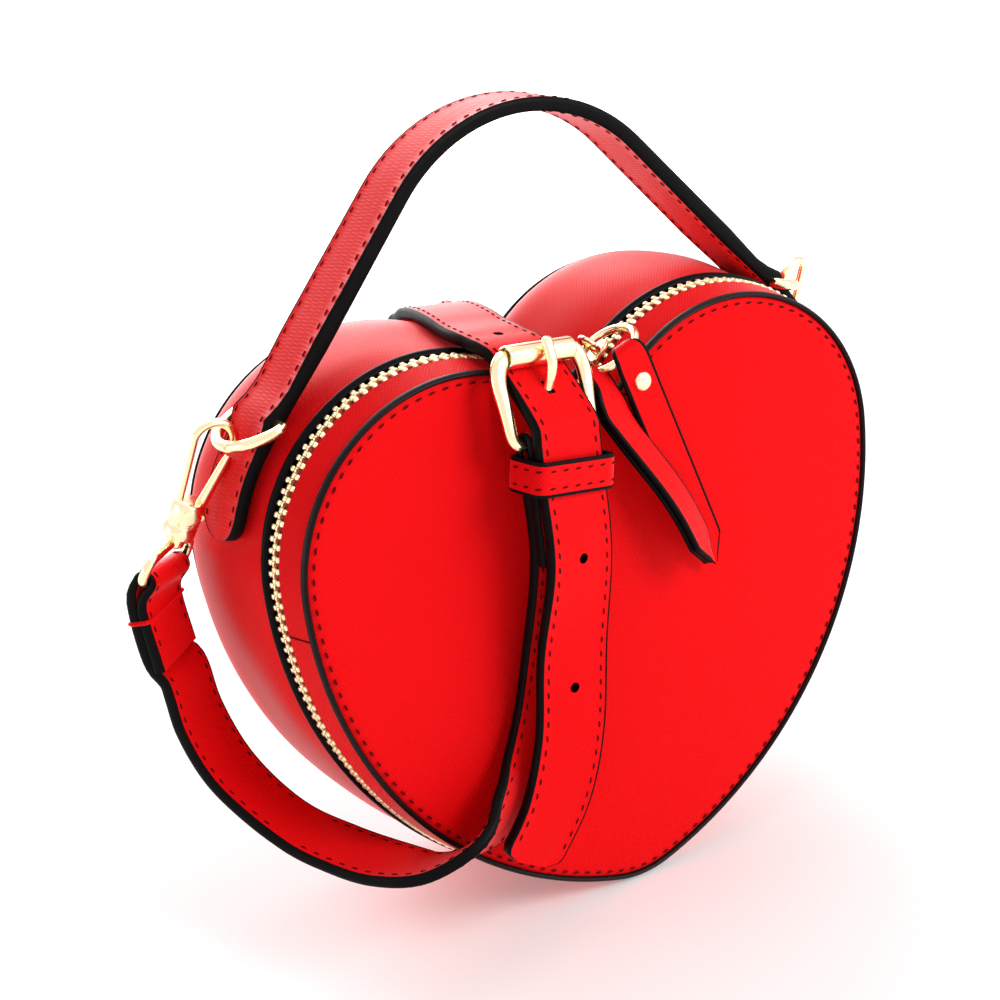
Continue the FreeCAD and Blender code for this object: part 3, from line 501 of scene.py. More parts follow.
def in_depth(flat, y):
    """Points (x, z) of an outline set at one depth."""
    return np.stack([flat[:, 0], np.full(len(flat), y), flat[:, 1]], axis=1)


def heart_sweep(name, heart, loop, materials, order=None, floor=None, slack=0.0):
    """A closed profile of (depth, growth) swept round the heart, or along part of it."""
    order = list(range(len(heart.radius))) if order is None else order
    points = np.stack([in_depth(heart.at(growth)[order], y) for y, growth in loop], axis=1)
    if slack:
        points += soft_dents(heart, points, order, slack)
    if floor is not None:
        points[:, :, 2] = np.maximum(points[:, :, 2], floor)
    return grid_piece(name, points, materials, wrap_along=len(order) == len(heart.radius))


def soft_dents(heart, points, order, depth):
    """Long shallow dents, strongest away from the sewn edges."""
    run = running(points[:, 0]) * 1000
    low, high = points[:, :, 1].min(), points[:, :, 1].max()
    part = (points[:, :, 1] - low) / (high - low)
    wave = np.sin(run / DENT_ALONG[0])[:, None] * np.sin(part * DENT_ACROSS[0] + DENT_SHIFT[0])
    wave += DENT_SECOND * np.sin(run / DENT_ALONG[1] + DENT_SHIFT[1])[:, None] * np.cos(part * DENT_ACROSS[1])
    wave *= np.sin(np.pi * part) * DENT_LEVEL * depth
    out = heart.out[order]
    return np.stack([out[:, :1] * wave, np.zeros_like(wave), out[:, 1:] * wave], axis=-1)


def round_loop(y, growth, radius, stretch=1.0):
    """A round profile, or one stretched in depth."""
    turns = np.linspace(0, 2 * math.pi, ROUND_SIDES, endpoint=False)
    return [(y + radius * stretch * math.cos(a), growth + radius * math.sin(a)) for a in turns]


def band_loop(rows, wall):
    """A profile of sheet with rounded edges from its outside rows."""
    inside = [(y, g - wall) for y, g in reversed(rows)]
    nip = wall * SHEET_NIP / 2
    (y0, g0), (y1, g1) = rows[0], rows[-1]
    front = [(y0 - nip, g0 - wall * part) for part in (0.75, 0.25)]
    back = [(y1 + nip, g1 - wall * part) for part in (0.25, 0.75)]
    return list(rows) + back + inside + front


def smooth_rows(rows, step):
    """Rows of numbers joined by a smooth curve, spaced by about one step of their first three."""
    rows = np.asarray(rows, float)
    chord = np.maximum(np.linalg.norm(np.diff(rows[:, :3], axis=0), axis=1), 1e-6)
    t = np.concatenate([[0.0], np.cumsum(np.sqrt(chord))])
    slope = np.zeros_like(rows)
    slope[1:-1] = (rows[2:] - rows[:-2]) / (t[2:] - t[:-2])[:, None]
    slope[0] = (rows[1] - rows[0]) / (t[1] - t[0])
    slope[-1] = (rows[-1] - rows[-2]) / (t[-1] - t[-2])
    made = []
    for i in range(len(rows) - 1):
        span = t[i + 1] - t[i]
        count = max(2, math.ceil(chord[i] / step))
        for u in np.linspace(0, 1, count, endpoint=False):
            a = 2 * u ** 3 - 3 * u ** 2 + 1
            b = u ** 3 - 2 * u ** 2 + u
            c = -2 * u ** 3 + 3 * u ** 2
            d = u ** 3 - u ** 2
            made.append(a * rows[i] + b * span * slope[i] + c * rows[i + 1] + d * span * slope[i + 1])
    made.append(rows[-1])
    return np.array(made)


def smooth_profile(rows, step):
    """Rows of (depth, growth) joined by a smooth curve."""
    return [(y, g) for y, g, _ in smooth_rows([(y, g, 0) for y, g in rows], step)]


# Straps

# Least width of a strap's rounded end
NARROWEST = 0.002


class Route:
    """The middle line of a strap, with the way its width points, its width and its thickness."""

    def __init__(self, centre, across, width, thickness, closed=False):
        self.centre = np.asarray(centre, float)
        count = len(self.centre)
        self.way = ways(self.centre, closed)
        across = np.broadcast_to(np.asarray(across, float), (count, 3))
        across = across - self.way * np.sum(across * self.way, axis=1, keepdims=True)
        self.across = unit(across)
        self.through = np.cross(self.way, self.across)
        self.width = np.broadcast_to(np.asarray(width, float), (count,)).copy()
        self.thickness = np.broadcast_to(np.asarray(thickness, float), (count,)).copy()
        self.closed = closed

    def part(self, start, end):
        """The stretch between two indices."""
        made = Route.__new__(Route)
        for key in ("centre", "way", "across", "through", "width", "thickness"):
            setattr(made, key, getattr(self, key)[start:end])
        made.closed = False
        return made

    def nearest(self, point):
        """Index of the section nearest a point."""
        return int(np.argmin(np.linalg.norm(self.centre - np.asarray(point), axis=1)))

    def at_length(self, distance):
        """Index of the section at a length from the start."""
        return int(np.argmin(np.abs(running(self.centre) - distance)))

    def rounded(self, start, end, corner):
        """Narrow the ends that are asked for to rounded corners."""
        run = running(self.centre)
        for wanted, left in ((start, run), (end, run[-1] - run)):
            if wanted:
                inside = np.clip(corner - left, 0, corner)
                cut = corner - np.sqrt(np.maximum(corner ** 2 - inside ** 2, 0))
                self.width = np.maximum(self.width - 2 * cut, NARROWEST)
        return self


# Half of a strap's section. Each row is a share of the half width, a share of the paint's width added to it
# and a share of the half thickness. The other half is the same, turned about the middle.
STRAP_HALF = (
    (-1.0, 1.0, 1.0), (-0.5, 0.0, 1.02), (0.0, 0.0, 1.03), (0.5, 0.0, 1.02), (1.0, -1.0, 1.0),
    (1.0, -0.6, 1.05), (1.0, -0.15, 0.76), (1.0, 0.0, 0.3), (1.0, 0.0, -0.3), (1.0, -0.15, -0.76),
    (1.0, -0.6, -1.05),
)
STRAP_SECTION = STRAP_HALF + tuple((-wide, -off, -tall) for wide, off, tall in STRAP_HALF)
# First painted strip of each half, and the most of a half width that is painted
FIRST_PAINTED = 4
MOST_PAINT = 0.6
# A stitch's width in thicknesses, its slant, how far its middle stands out in radii,
# and its place in half thicknesses of a strap
STITCH_FLATNESS = 1.25
STITCH_SLANT = 0.10
STITCH_STAND = 0.25
STITCH_FACE = 1.01


def strap_piece(name, route):
    """A leather strap with painted edges."""
    half = route.width / 2
    paint = np.minimum(sizes("strap").paint, half * MOST_PAINT)
    thick = route.thickness / 2
    points = np.zeros((len(half), len(STRAP_SECTION), 3))
    for j, (wide, off, tall) in enumerate(STRAP_SECTION):
        across = half * wide + paint * off
        points[:, j] = route.centre + route.across * across[:, None] + route.through * (thick * tall)[:, None]
    strips = [int(j % len(STRAP_HALF) >= FIRST_PAINTED) for j in range(len(STRAP_SECTION))]
    materials = [finishes["leather"], finishes["paint"]]
    return grid_piece(name, points, materials, wrap_along=route.closed, strips=strips)


def stitch_template():
    """A short bulged thread along X."""
    s = sizes("strap")
    work = bmesh.new()
    bmesh.ops.create_uvsphere(work, u_segments=8, v_segments=6, radius=1.0)
    for v in work.verts:
        x, y, z = v.co
        v.co = Vector((z * s.stitch / 2, x * s.stitch_radius * STITCH_FLATNESS, y * s.stitch_radius))
    return template_of(work)


def stitch_places(points, normals, closed=False):
    """Evenly spaced stitches along a run of points on a surface."""
    s = sizes("strap")
    if closed:
        points = np.vstack([points, points[:1]])
        normals = np.vstack([normals, normals[:1]])
    run = running(points)
    count = max(1, int(run[-1] // s.stitch_pitch))
    spots = (np.arange(count) + 0.5) * run[-1] / count
    at = read_off(spots, run, points)
    way = read_off(spots + s.stitch / 4, run, points) - read_off(spots - s.stitch / 4, run, points)
    up = unit(read_off(spots, run, normals))
    way = unit(way - up * np.sum(way * up, axis=1, keepdims=True))
    way = unit(way + np.cross(up, way) * STITCH_SLANT)
    side = np.cross(up, way)
    stand = s.stitch_radius * STITCH_STAND
    return [(at[i] + up[i] * stand, np.stack([way[i], side[i], up[i]])) for i in range(count)]


def strap_stitches(route, faces=(1, -1), trim=0):
    """Stitches along both edges of a strap, on the faces asked for."""
    inset = sizes("strap").stitch_inset
    places = []
    for face in faces:
        for edge in (1, -1):
            reach = route.width / 2 - inset
            points = (route.centre + route.across * (edge * reach)[:, None]
                      + route.through * (face * STITCH_FACE * route.thickness / 2)[:, None])
            good = route.width > 3 * inset
            points, normals = points[good], (route.through * face)[good]
            if trim:
                points, normals = points[trim:-trim], normals[trim:-trim]
            places += stitch_places(points, normals, route.closed)
    return places


def stitches_piece(name, places):
    """One mesh of thread."""
    return copies_piece(name, stitch_template(), places, [finishes["thread"]])


# Round stock

BAR_SIDES = 14
TURNED_SIDES = 28
# Ways from which the first side of a bar and of a turned piece are taken
BAR_START = (0.3, 0.5, 0.81)
TURNED_START = (0.31, 0.55, 0.77)
# Most of a side that a rounded corner takes, and its points
CORNER_SHARE = 0.48
CORNER_STEPS = 6


def tube_piece(name, points, radii, material, closed=False, sides=BAR_SIDES, flat=1.0, flat_way=BAR_START):
    """Round bar along a run of points, with its own radius at each."""
    points = np.asarray(points, float)
    count = len(points)
    radii = np.broadcast_to(np.asarray(radii, float), (count,))
    way = ways(points, closed)
    side = np.asarray(flat_way, float)
    grid = np.zeros((count, sides, 3))
    turns = np.linspace(0, 2 * math.pi, sides, endpoint=False)
    for i in range(count):
        side = unit(side - way[i] * side.dot(way[i]))
        other = np.cross(way[i], side)
        for j, turn in enumerate(turns):
            grid[i, j] = points[i] + radii[i] * (side * math.cos(turn) * flat + other * math.sin(turn))
    return grid_piece(name, grid, [material], wrap_along=closed)


def lathe_piece(name, origin, axis, profile, material, sides=TURNED_SIDES):
    """A turned piece: rows of (along, radius) about an axis."""
    axis = unit(axis)
    side = unit(np.cross(axis, TURNED_START))
    other = np.cross(axis, side)
    turns = np.linspace(0, 2 * math.pi, sides, endpoint=False)
    grid = np.zeros((sides, len(profile), 3))
    origin = np.asarray(origin, float)
    for j, (along, radius) in enumerate(profile):
        for i, turn in enumerate(turns):
            grid[i, j] = origin + axis * along + radius * (side * math.cos(turn) + other * math.sin(turn))
    poles = (origin + axis * profile[0][0], origin + axis * profile[-1][0])
    return grid_piece(name, grid, [material], wrap_along=True, wrap_across=False, poles=poles,
                      crease=TURNED_CREASE)


def mirrored(rows):
    """A turned profile with two like ends, from one end's rows of (along, radius), outermost first."""
    return [(-along, radius) for along, radius in rows] + list(reversed(rows))


def rounded_ring(corners, radius, step):
    """A closed run of evenly spaced points with its corners rounded."""
    corners = [np.asarray(c, float) for c in corners]
    made = []
    for i, corner in enumerate(corners):
        into, away = corners[i - 1] - corner, corners[(i + 1) % len(corners)] - corner
        reach = min(radius, np.linalg.norm(into) * CORNER_SHARE, np.linalg.norm(away) * CORNER_SHARE)
        start, end = corner + unit(into) * reach, corner + unit(away) * reach
        for u in np.linspace(0, 1, CORNER_STEPS):
            made.append((1 - u) ** 2 * start + 2 * u * (1 - u) * corner + u ** 2 * end)
    made = np.array(made + made[:1])
    run = running(made)
    count = max(3, round(run[-1] / step))
    return read_off(np.linspace(0, run[-1], count, endpoint=False), run, made)


def merged(name, pieces):
    """Several pieces of one finish as one object."""
    work = bmesh.new()
    for piece in pieces:
        work.from_mesh(piece.data)
    mesh = bpy.data.meshes.new(name)
    work.to_mesh(mesh)
    work.free()
    made = link(name, mesh, [pieces[0].data.materials[0]])
    for piece in pieces:
        bpy.data.meshes.remove(piece.data)
    finish_mesh(mesh, MERGED_CREASE)
    return made


def placed_mesh(name, work, origin, axes, material):
    """A bmesh set on an origin and three axes as a finished object."""
    for v in work.verts:
        v.co = Vector(np.asarray(origin) + axes[0] * v.co.x + axes[1] * v.co.y + axes[2] * v.co.z)
    mesh = bpy.data.meshes.new(name)
    work.to_mesh(mesh)
    work.free()
    made = link(name, mesh, [material])
    finish_mesh(mesh)
    return made


def slab_piece(name, centre, axes, size, material):
    """A plain block."""
    work = bmesh.new()
    bmesh.ops.create_cube(work, size=1.0)
    for v in work.verts:
        v.co = Vector((v.co.x * size[0], v.co.y * size[1], v.co.z * size[2]))
    return placed_mesh(name, work, centre, axes, material)


# Rounding of a plate's rim in thicknesses, its steps and its fullness
PLATE_BEVEL = 0.28
PLATE_BEVEL_STEPS = 3
PLATE_BEVEL_PROFILE = 0.6


def plate_piece(name, centre, axes, outline, thickness):
    """A flat plate of any outline with softened edges, rising from its centre along the third axis."""
    work = bmesh.new()
    face = work.faces.new([work.verts.new((a, c, 0)) for a, c in outline])
    raised = bmesh.ops.extrude_face_region(work, geom=[face])
    for v in raised["geom"]:
        if isinstance(v, bmesh.types.BMVert):
            v.co.z += thickness
    rims = [e for e in work.edges if abs(e.verts[0].co.z - e.verts[1].co.z) < thickness / 2]
    bmesh.ops.bevel(work, geom=rims, offset=thickness * PLATE_BEVEL, segments=PLATE_BEVEL_STEPS,
                    affect="EDGES", profile=PLATE_BEVEL_PROFILE)
    return placed_mesh(name, work, centre, axes, finishes["gold"])


def cut_away(piece, cutter, crossed=False):
    """Take a cutter's shape out of a piece, whose layers may cross each other, and drop the cutter."""
    modifier = piece.modifiers.new("cut", "BOOLEAN")
    modifier.operation = "DIFFERENCE"
    modifier.solver = "EXACT"
    modifier.use_self = crossed
    modifier.material_mode = "TRANSFER"
    modifier.object = cutter
    graph = bpy.context.evaluated_depsgraph_get()
    cut = piece.evaluated_get(graph)
    made = bpy.data.meshes.new_from_object(cut, preserve_all_data_layers=True, depsgraph=graph)
    piece.modifiers.clear()
    old = piece.data
    piece.data = made
    bpy.data.meshes.remove(old)
    bpy.data.meshes.remove(cutter.data)
    made.set_sharp_from_angle(angle=math.radians(CREASE))


# Materials

finishes = {}


def new_material(name):
    """An empty node material and its shader."""
    material = bpy.data.materials.new(name)
    material.use_nodes = True
    return material, material.node_tree.nodes["Principled BSDF"]


def put(holder, **values):
    """Plain inputs of a node."""
    for key, value in values.items():
        holder.inputs[key.replace("_", " ")].default_value = value


def node(owner, kind, **values):
    """A node of a material or world, with some of its settings and inputs."""
    made = owner.node_tree.nodes.new(kind)
    for key, value in values.items():
        if hasattr(made, key):
            setattr(made, key, value)
        else:
            put(made, **{key: value})
    return made


def join(owner, out, into):
    """Link two sockets."""
    owner.node_tree.links.new(out, into)


def ramp(owner, value, low, high, **settings):
    """A value carried from 0 and 1, or from a range in the settings, to a low and a high."""
    made = node(owner, "ShaderNodeMapRange", To_Min=low, To_Max=high, **settings)
    join(owner, value, made.inputs["Value"])
    return made.outputs["Result"]


def combine(owner, operation, *values, **settings):
    """One sum of sockets and plain numbers."""
    made = node(owner, "ShaderNodeMath", operation=operation, **settings)
    for place, value in zip(made.inputs, values):
        if isinstance(value, float):
            place.default_value = value
        else:
            join(owner, value, place)
    return made.outputs["Value"]


def noise(material, scale, detail, **settings):
    """Clouds that are fixed to the piece."""
    place = node(material, "ShaderNodeTexCoord")
    made = node(material, "ShaderNodeTexNoise", Scale=scale, Detail=detail, **settings)
    join(material, place.outputs["Object"], made.inputs["Vector"])
    return made.outputs["Fac"]


def crossed_waves(material, turns, scale, **settings):
    """Product of two sets of ridges on the piece's own map, each turned by some degrees."""
    uv = node(material, "ShaderNodeUVMap", uv_map=GRAIN_MAP)
    ridges = []
    for turn in turns:
        rotation = (0, 0, math.radians(turn))
        mapping = node(material, "ShaderNodeMapping", Rotation=rotation, Scale=(scale, scale, scale))
        wave = node(material, "ShaderNodeTexWave", Scale=1.0, **settings)
        join(material, uv.outputs["UV"], mapping.inputs["Vector"])
        join(material, mapping.outputs["Vector"], wave.inputs["Vector"])
        ridges.append(wave.outputs["Fac"])
    return combine(material, "MULTIPLY", *ridges)


def tint(material, shader, factor, first, second):
    """Colour of a finish, between two."""
    made = node(material, "ShaderNodeMix", data_type="RGBA", A=(*first, 1), B=(*second, 1))
    join(material, factor, made.inputs["Factor"])
    join(material, made.outputs["Result"], shader.inputs["Base Color"])


def relief(material, shader, height, strength, distance):
    """Fine surface of a finish."""
    made = node(material, "ShaderNodeBump", Strength=strength, Distance=distance)
    join(material, height, made.inputs["Height"])
    join(material, made.outputs["Normal"], shader.inputs["Normal"])


def darker(rgb, part):
    """A colour at part of its strength."""
    return tuple(c * part for c in rgb)


# The leather's grain: turns of its two sets of ridges in degrees, their scale, and the height of full colour
GRAIN_TURNS = (38.0, -41.0)
GRAIN_SCALE = 340.0
GRAIN_WAVES = {"Distortion": 2.2, "Detail": 2.0, "Detail_Scale": 1.4}
GRAIN_FULL = 0.55
GRAIN_TONE = (0.62, 1.0)
GRAIN_ROUGHNESS = (0.50, 0.38)
# Its clouds, and its pores with their share of the height
CLOUD_SCALE = 26.0
CLOUD_DETAIL = 3.0
CLOUD_SOFTNESS = 0.55
CLOUD_TONE = (0.82, 1.08)
PORE_SCALE = 900.0
PORE_DETAIL = 2.0
PORE_SHARE = 0.25
# Strength and depth of its bump, its gloss seen straight and at a slant, and its sheen
LEATHER_BUMP = (0.32, 0.00016)
SLANT_POWER = 4.0
SLANT_GLOSS = (0.025, 0.60)
SHEEN = {"Sheen_Weight": 0.10, "Sheen_Roughness": 0.35, "Sheen_Tint": (1.0, 0.62, 0.66, 1)}
# Softness of a plain finish's clouds and strength of its bump
PLAIN_SOFTNESS = 0.6
PLAIN_BUMP = 0.3
# A weave: turns of its threads in degrees, their waver, the shade between them, and its bump
WEAVE_TURNS = (0.0, 90.0)
WEAVE_WAVER = 0.4
WEAVE_SHADE = 0.6
WEAVE_BUMP = (0.5, 0.0002)


def leather_material():
    """Red leather with a crossed grain, glossier where it is seen at a slant."""
    f = sizes("finish")
    material, shader = new_material("red_leather")
    grain = crossed_waves(material, GRAIN_TURNS, GRAIN_SCALE, **GRAIN_WAVES)
    level = ramp(material, grain, *GRAIN_TONE, From_Min=0.0, From_Max=GRAIN_FULL)
    cloud = noise(material, CLOUD_SCALE, CLOUD_DETAIL, Roughness=CLOUD_SOFTNESS)
    cloudy = ramp(material, cloud, *CLOUD_TONE)
    mixed = combine(material, "MULTIPLY", level, cloudy, use_clamp=True)
    tint(material, shader, mixed, f.leather_shade, f.leather)
    join(material, ramp(material, grain, *GRAIN_ROUGHNESS), shader.inputs["Roughness"])
    pores = noise(material, PORE_SCALE, PORE_DETAIL)
    height = combine(material, "MULTIPLY_ADD", pores, PORE_SHARE, grain)
    relief(material, shader, height, *LEATHER_BUMP)
    edge = node(material, "ShaderNodeLayerWeight", Blend=0.5)
    steep = combine(material, "POWER", edge.outputs["Facing"], SLANT_POWER)
    join(material, ramp(material, steep, *SLANT_GLOSS), shader.inputs["Specular IOR Level"])
    put(shader, **SHEEN)
    return material


def noisy_material(name, base, other, scale, rough, bump_size, metallic, specular):
    """A plain finish whose colour, gloss and surface vary a little."""
    material, shader = new_material(name)
    cloud = noise(material, scale, CLOUD_DETAIL, Roughness=PLAIN_SOFTNESS)
    tint(material, shader, cloud, base, other)
    join(material, ramp(material, cloud, *rough), shader.inputs["Roughness"])
    relief(material, shader, cloud, PLAIN_BUMP, bump_size)
    put(shader, Metallic=metallic, Specular_IOR_Level=specular)
    return material


def woven_material(name, base, scale, rough):
    """Cloth with a plain weave, read off the piece's own map."""
    material, shader = new_material(name)
    weave = crossed_waves(material, WEAVE_TURNS, scale, Distortion=WEAVE_WAVER)
    tint(material, shader, weave, darker(base, WEAVE_SHADE), base)
    relief(material, shader, weave, *WEAVE_BUMP)
    put(shader, Roughness=rough)
    return material


# Plain finishes: the material's name, the strength of its second colour, the scale of its clouds,
# its roughness in both, the depth of its bump, and how metallic and how glossy it is
PLAIN_FINISHES = {
    "paint": ("edge_paint", 2.2, 240.0, (0.34, 0.46), 0.00008, 0.0, 0.05),
    "edging": ("front_roll", 0.5, 240.0, (0.34, 0.46), 0.00008, 0.0, 0.12),
    "thread": ("thread", 0.6, 2600.0, (0.6, 0.75), 0.00008, 0.0, 0.08),
    "gold": ("pale_gold", 0.94, 60.0, (0.14, 0.24), 0.00002, 1.0, 0.5),
    "zip_gold": ("zip_gold", 0.9, 500.0, (0.30, 0.42), 0.00003, 1.0, 0.5),
    "board": ("stiff_board", 0.8, 300.0, (0.8, 0.9), 0.0001, 0.0, 0.5),
}
# Cloths: the material's name, the scale of its weave and its roughness
CLOTHS = {
    "tape": ("zip_tape", 900.0, 0.75),
    "lining": ("lining_cloth", 700.0, 0.8),
}


class PURSE_OT_finishes(bpy.types.Operator):
    """Make the materials and put them on the carried-over CAD nodes"""
    bl_idname = "purse.finishes"
    bl_label = "Finishes"

    def execute(self, context):
        f = sizes("finish")
        finishes["leather"] = leather_material()
        for key, (name, second, *settings) in PLAIN_FINISHES.items():
            base = getattr(f, key)
            finishes[key] = noisy_material(name, base, darker(base, second), *settings)
        for key, (name, *settings) in CLOTHS.items():
            finishes[key] = woven_material(name, getattr(f, key), *settings)
        for name, piece in frame["nodes"].items():
            made = finishes["board"] if "board" in name else finishes["gold"]
            piece.data.materials.clear()
            piece.data.materials.append(made)
        return {"FINISHED"}


# Body of the bag

# Swell of the gusset: shares of its depth and of its rise
GUSSET_SWELL = ((0.0, 0.0), (0.22, 0.58), (0.5, 1.0), (0.78, 1.0), (0.93, 0.5))
GUSSET_STEP = 0.0022
# Rings of a panel, as shares of the way from its middle to its roll, and the steps of the roll
PANEL_RINGS = (0.06, 0.2, 0.35, 0.5, 0.65, 0.78, 0.88, 0.95)
ROLL_STEPS = (1.0, 0.6, 0.3, 0.1, 0.0)
# Height of a panel's middle in lobe heights, drop of its roll in thicknesses, and how the roll bends
PANEL_MIDDLE = 0.78
ROLL_DROP = 0.35
ROLL_BEND = 2.5
UNDERSIDE_DROP = 0.2
DOME_AT_STITCHES = 0.1
LINING_ROLL = 0.002
STRIP_STEP = 0.0015
# The seam across the strip: where it starts and ends in widths, its points, its thread and its sides
SEAM_SPAN = (0.02, 0.98)
SEAM_STEPS = 9
SEAM_RADIUS = 0.0003
SEAM_SIDES = 8


def gusset_rows(heart):
    """Outside of the gusset as (depth, growth), from its front edge to the back."""
    s = sizes("sheets")
    start = s.gusset_setback - heart.half_depth
    end = heart.half_depth - s.gusset_end_gap
    rise = s.gusset_crown - s.gusset_edge
    rows = [(start + along * (end - start), s.gusset_edge + swell * rise) for along, swell in GUSSET_SWELL]
    rows.append((end, s.gusset_tail))
    return smooth_profile(rows, GUSSET_STEP)


class PURSE_OT_gusset(bpy.types.Operator):
    """Crowned leather gusset and its edging behind the zip"""
    bl_idname = "purse.gusset"
    bl_label = "Gusset"

    def execute(self, context):
        s = sizes("sheets")
        heart = Heart()
        loop = band_loop(gusset_rows(heart), s.gusset_wall)
        piece = heart_sweep("gusset_leather", heart, loop, [finishes["leather"]], floor=0.0,
                            slack=s.gusset_slack)
        settle(piece, "bag", "red_leather", "main_gusset")
        loop = round_loop(s.rim_setback - heart.half_depth, s.rim_growth, s.rim_radius)
        rim = heart_sweep("gusset_edging", heart, loop, [finishes["paint"]], floor=0.0)
        settle(rim, "bag", "black_edging", "gusset_piping")
        return {"FINISHED"}


def heart_disc(name, heart, front, back, growth, dome, roll, materials, face):
    """A heart shaped panel between two depths, domed and rolled on its outside.

    The face is 1 where the outside looks back, and -1 where it looks to the front."""
    edge = heart.at(growth)
    middle = np.array([0.0, heart.lobe_z * PANEL_MIDDLE])
    inner = heart.at(growth - roll)
    outside, inside = (back, front) if face > 0 else (front, back)
    drop = (back - front) * ROLL_DROP
    rows = [(middle + (inner - middle) * part, outside + face * dome * (1 - part ** 2))
            for part in PANEL_RINGS]
    rows += [(edge + (inner - edge) * k, outside - face * drop * (1 - k) ** ROLL_BEND) for k in ROLL_STEPS]
    rows.append((edge, inside + face * drop * UNDERSIDE_DROP))
    rows.append((edge + (inner - edge) * ROLL_STEPS[-2], inside))
    rows += [(middle + (inner - middle) * part, inside) for part in reversed(PANEL_RINGS)]
    points = np.stack([in_depth(flat, y) for flat, y in rows], axis=1)
    poles = ((middle[0], outside + face * dome, middle[1]), (middle[0], inside, middle[1]))
    piece = grid_piece(name, points, materials, wrap_along=True, wrap_across=False, poles=poles,
                       crease=PANEL_CREASE)
    layer = piece.data.uv_layers[GRAIN_MAP]
    flat_places = np.array([piece.data.vertices[l.vertex_index].co for l in piece.data.loops])
    layer.uv.foreach_set("vector", flat_places[:, [0, 2]].astype(np.float32).ravel())
    return piece


def panel_stitches(name, heart, face):
    """A row of stitches inside a panel's edge, on the back with face 1 or on the front with face -1."""
    lift = sizes("heart").panel_dome * DOME_AT_STITCHES
    points = in_depth(heart.at(-sizes("strap").panel_stitch_inset), face * (heart.half_depth + lift))
    normals = np.tile(BACKWARD * face, (len(points), 1))
    return stitches_piece(name, stitch_places(points, normals, closed=True))


class PURSE_OT_back(bpy.types.Operator):
    """Back panel with its edging and stitches"""
    bl_idname = "purse.back"
    bl_label = "Back"

    def execute(self, context):
        s = sizes("sheets")
        h = sizes("heart")
        heart = Heart()
        front = heart.half_depth - s.gusset_end_gap + s.lining_gap
        piece = heart_disc("back_leather", heart, front, heart.half_depth, s.back_growth, h.panel_dome,
                           h.panel_roll, [finishes["leather"]], 1)
        settle(piece, "bag", "red_leather", "back_panel")
        loop = round_loop(front + s.edging_radius + s.lining_gap, s.back_edging_growth, s.edging_radius)
        rim = heart_sweep("back_edging", heart, loop, [finishes["paint"]], floor=0.0)
        settle(rim, "bag", "black_edging", "back_piping")
        settle(panel_stitches("back_stitches", heart, 1), "bag", "red_leather")
        return {"FINISHED"}


class PURSE_OT_lining(bpy.types.Operator):
    """Cloth linings inside the bag and behind the front"""
    bl_idname = "purse.lining"
    bl_label = "Linings"

    def execute(self, context):
        s = sizes("sheets")
        heart = Heart()
        cloth = [finishes["lining"]]
        inset = s.gusset_wall + s.lining_gap
        rows = [(y, g - inset) for y, g in gusset_rows(heart)]
        loop = band_loop(rows, s.lining_thickness)
        piece = heart_sweep("gusset_cloth", heart, loop, cloth, floor=inset, slack=s.gusset_slack)
        settle(piece, "bag", "lining_fabric", "gusset_lining")
        board_front = heart.half_depth - s.gusset_end_gap - s.lining_gap - s.board_thickness
        back = board_front - s.lining_gap
        piece = heart_disc("back_cloth", heart, back - s.lining_thickness, back, -s.lining_inset, 0.0,
                           LINING_ROLL, cloth, -1)
        settle(piece, "bag", "lining_fabric", "back_lining")
        front = -heart.half_depth + s.panel_thickness + 2 * s.lining_gap + s.board_thickness
        piece = heart_disc("front_cloth", heart, front, front + s.lining_thickness, -s.lining_inset, 0.0,
                           LINING_ROLL, cloth, 1)
        settle(piece, "front", "lining_fabric", "front_lining")
        return {"FINISHED"}


def strip_loop(start, end):
    """Profile of a leather strip that widens from the panel toward the zip."""
    s = sizes("sheets")
    rows = [(start, s.strip_front_growth), (end, s.strip_rear_growth)]
    return band_loop(smooth_profile(rows, STRIP_STEP), s.strip_wall)


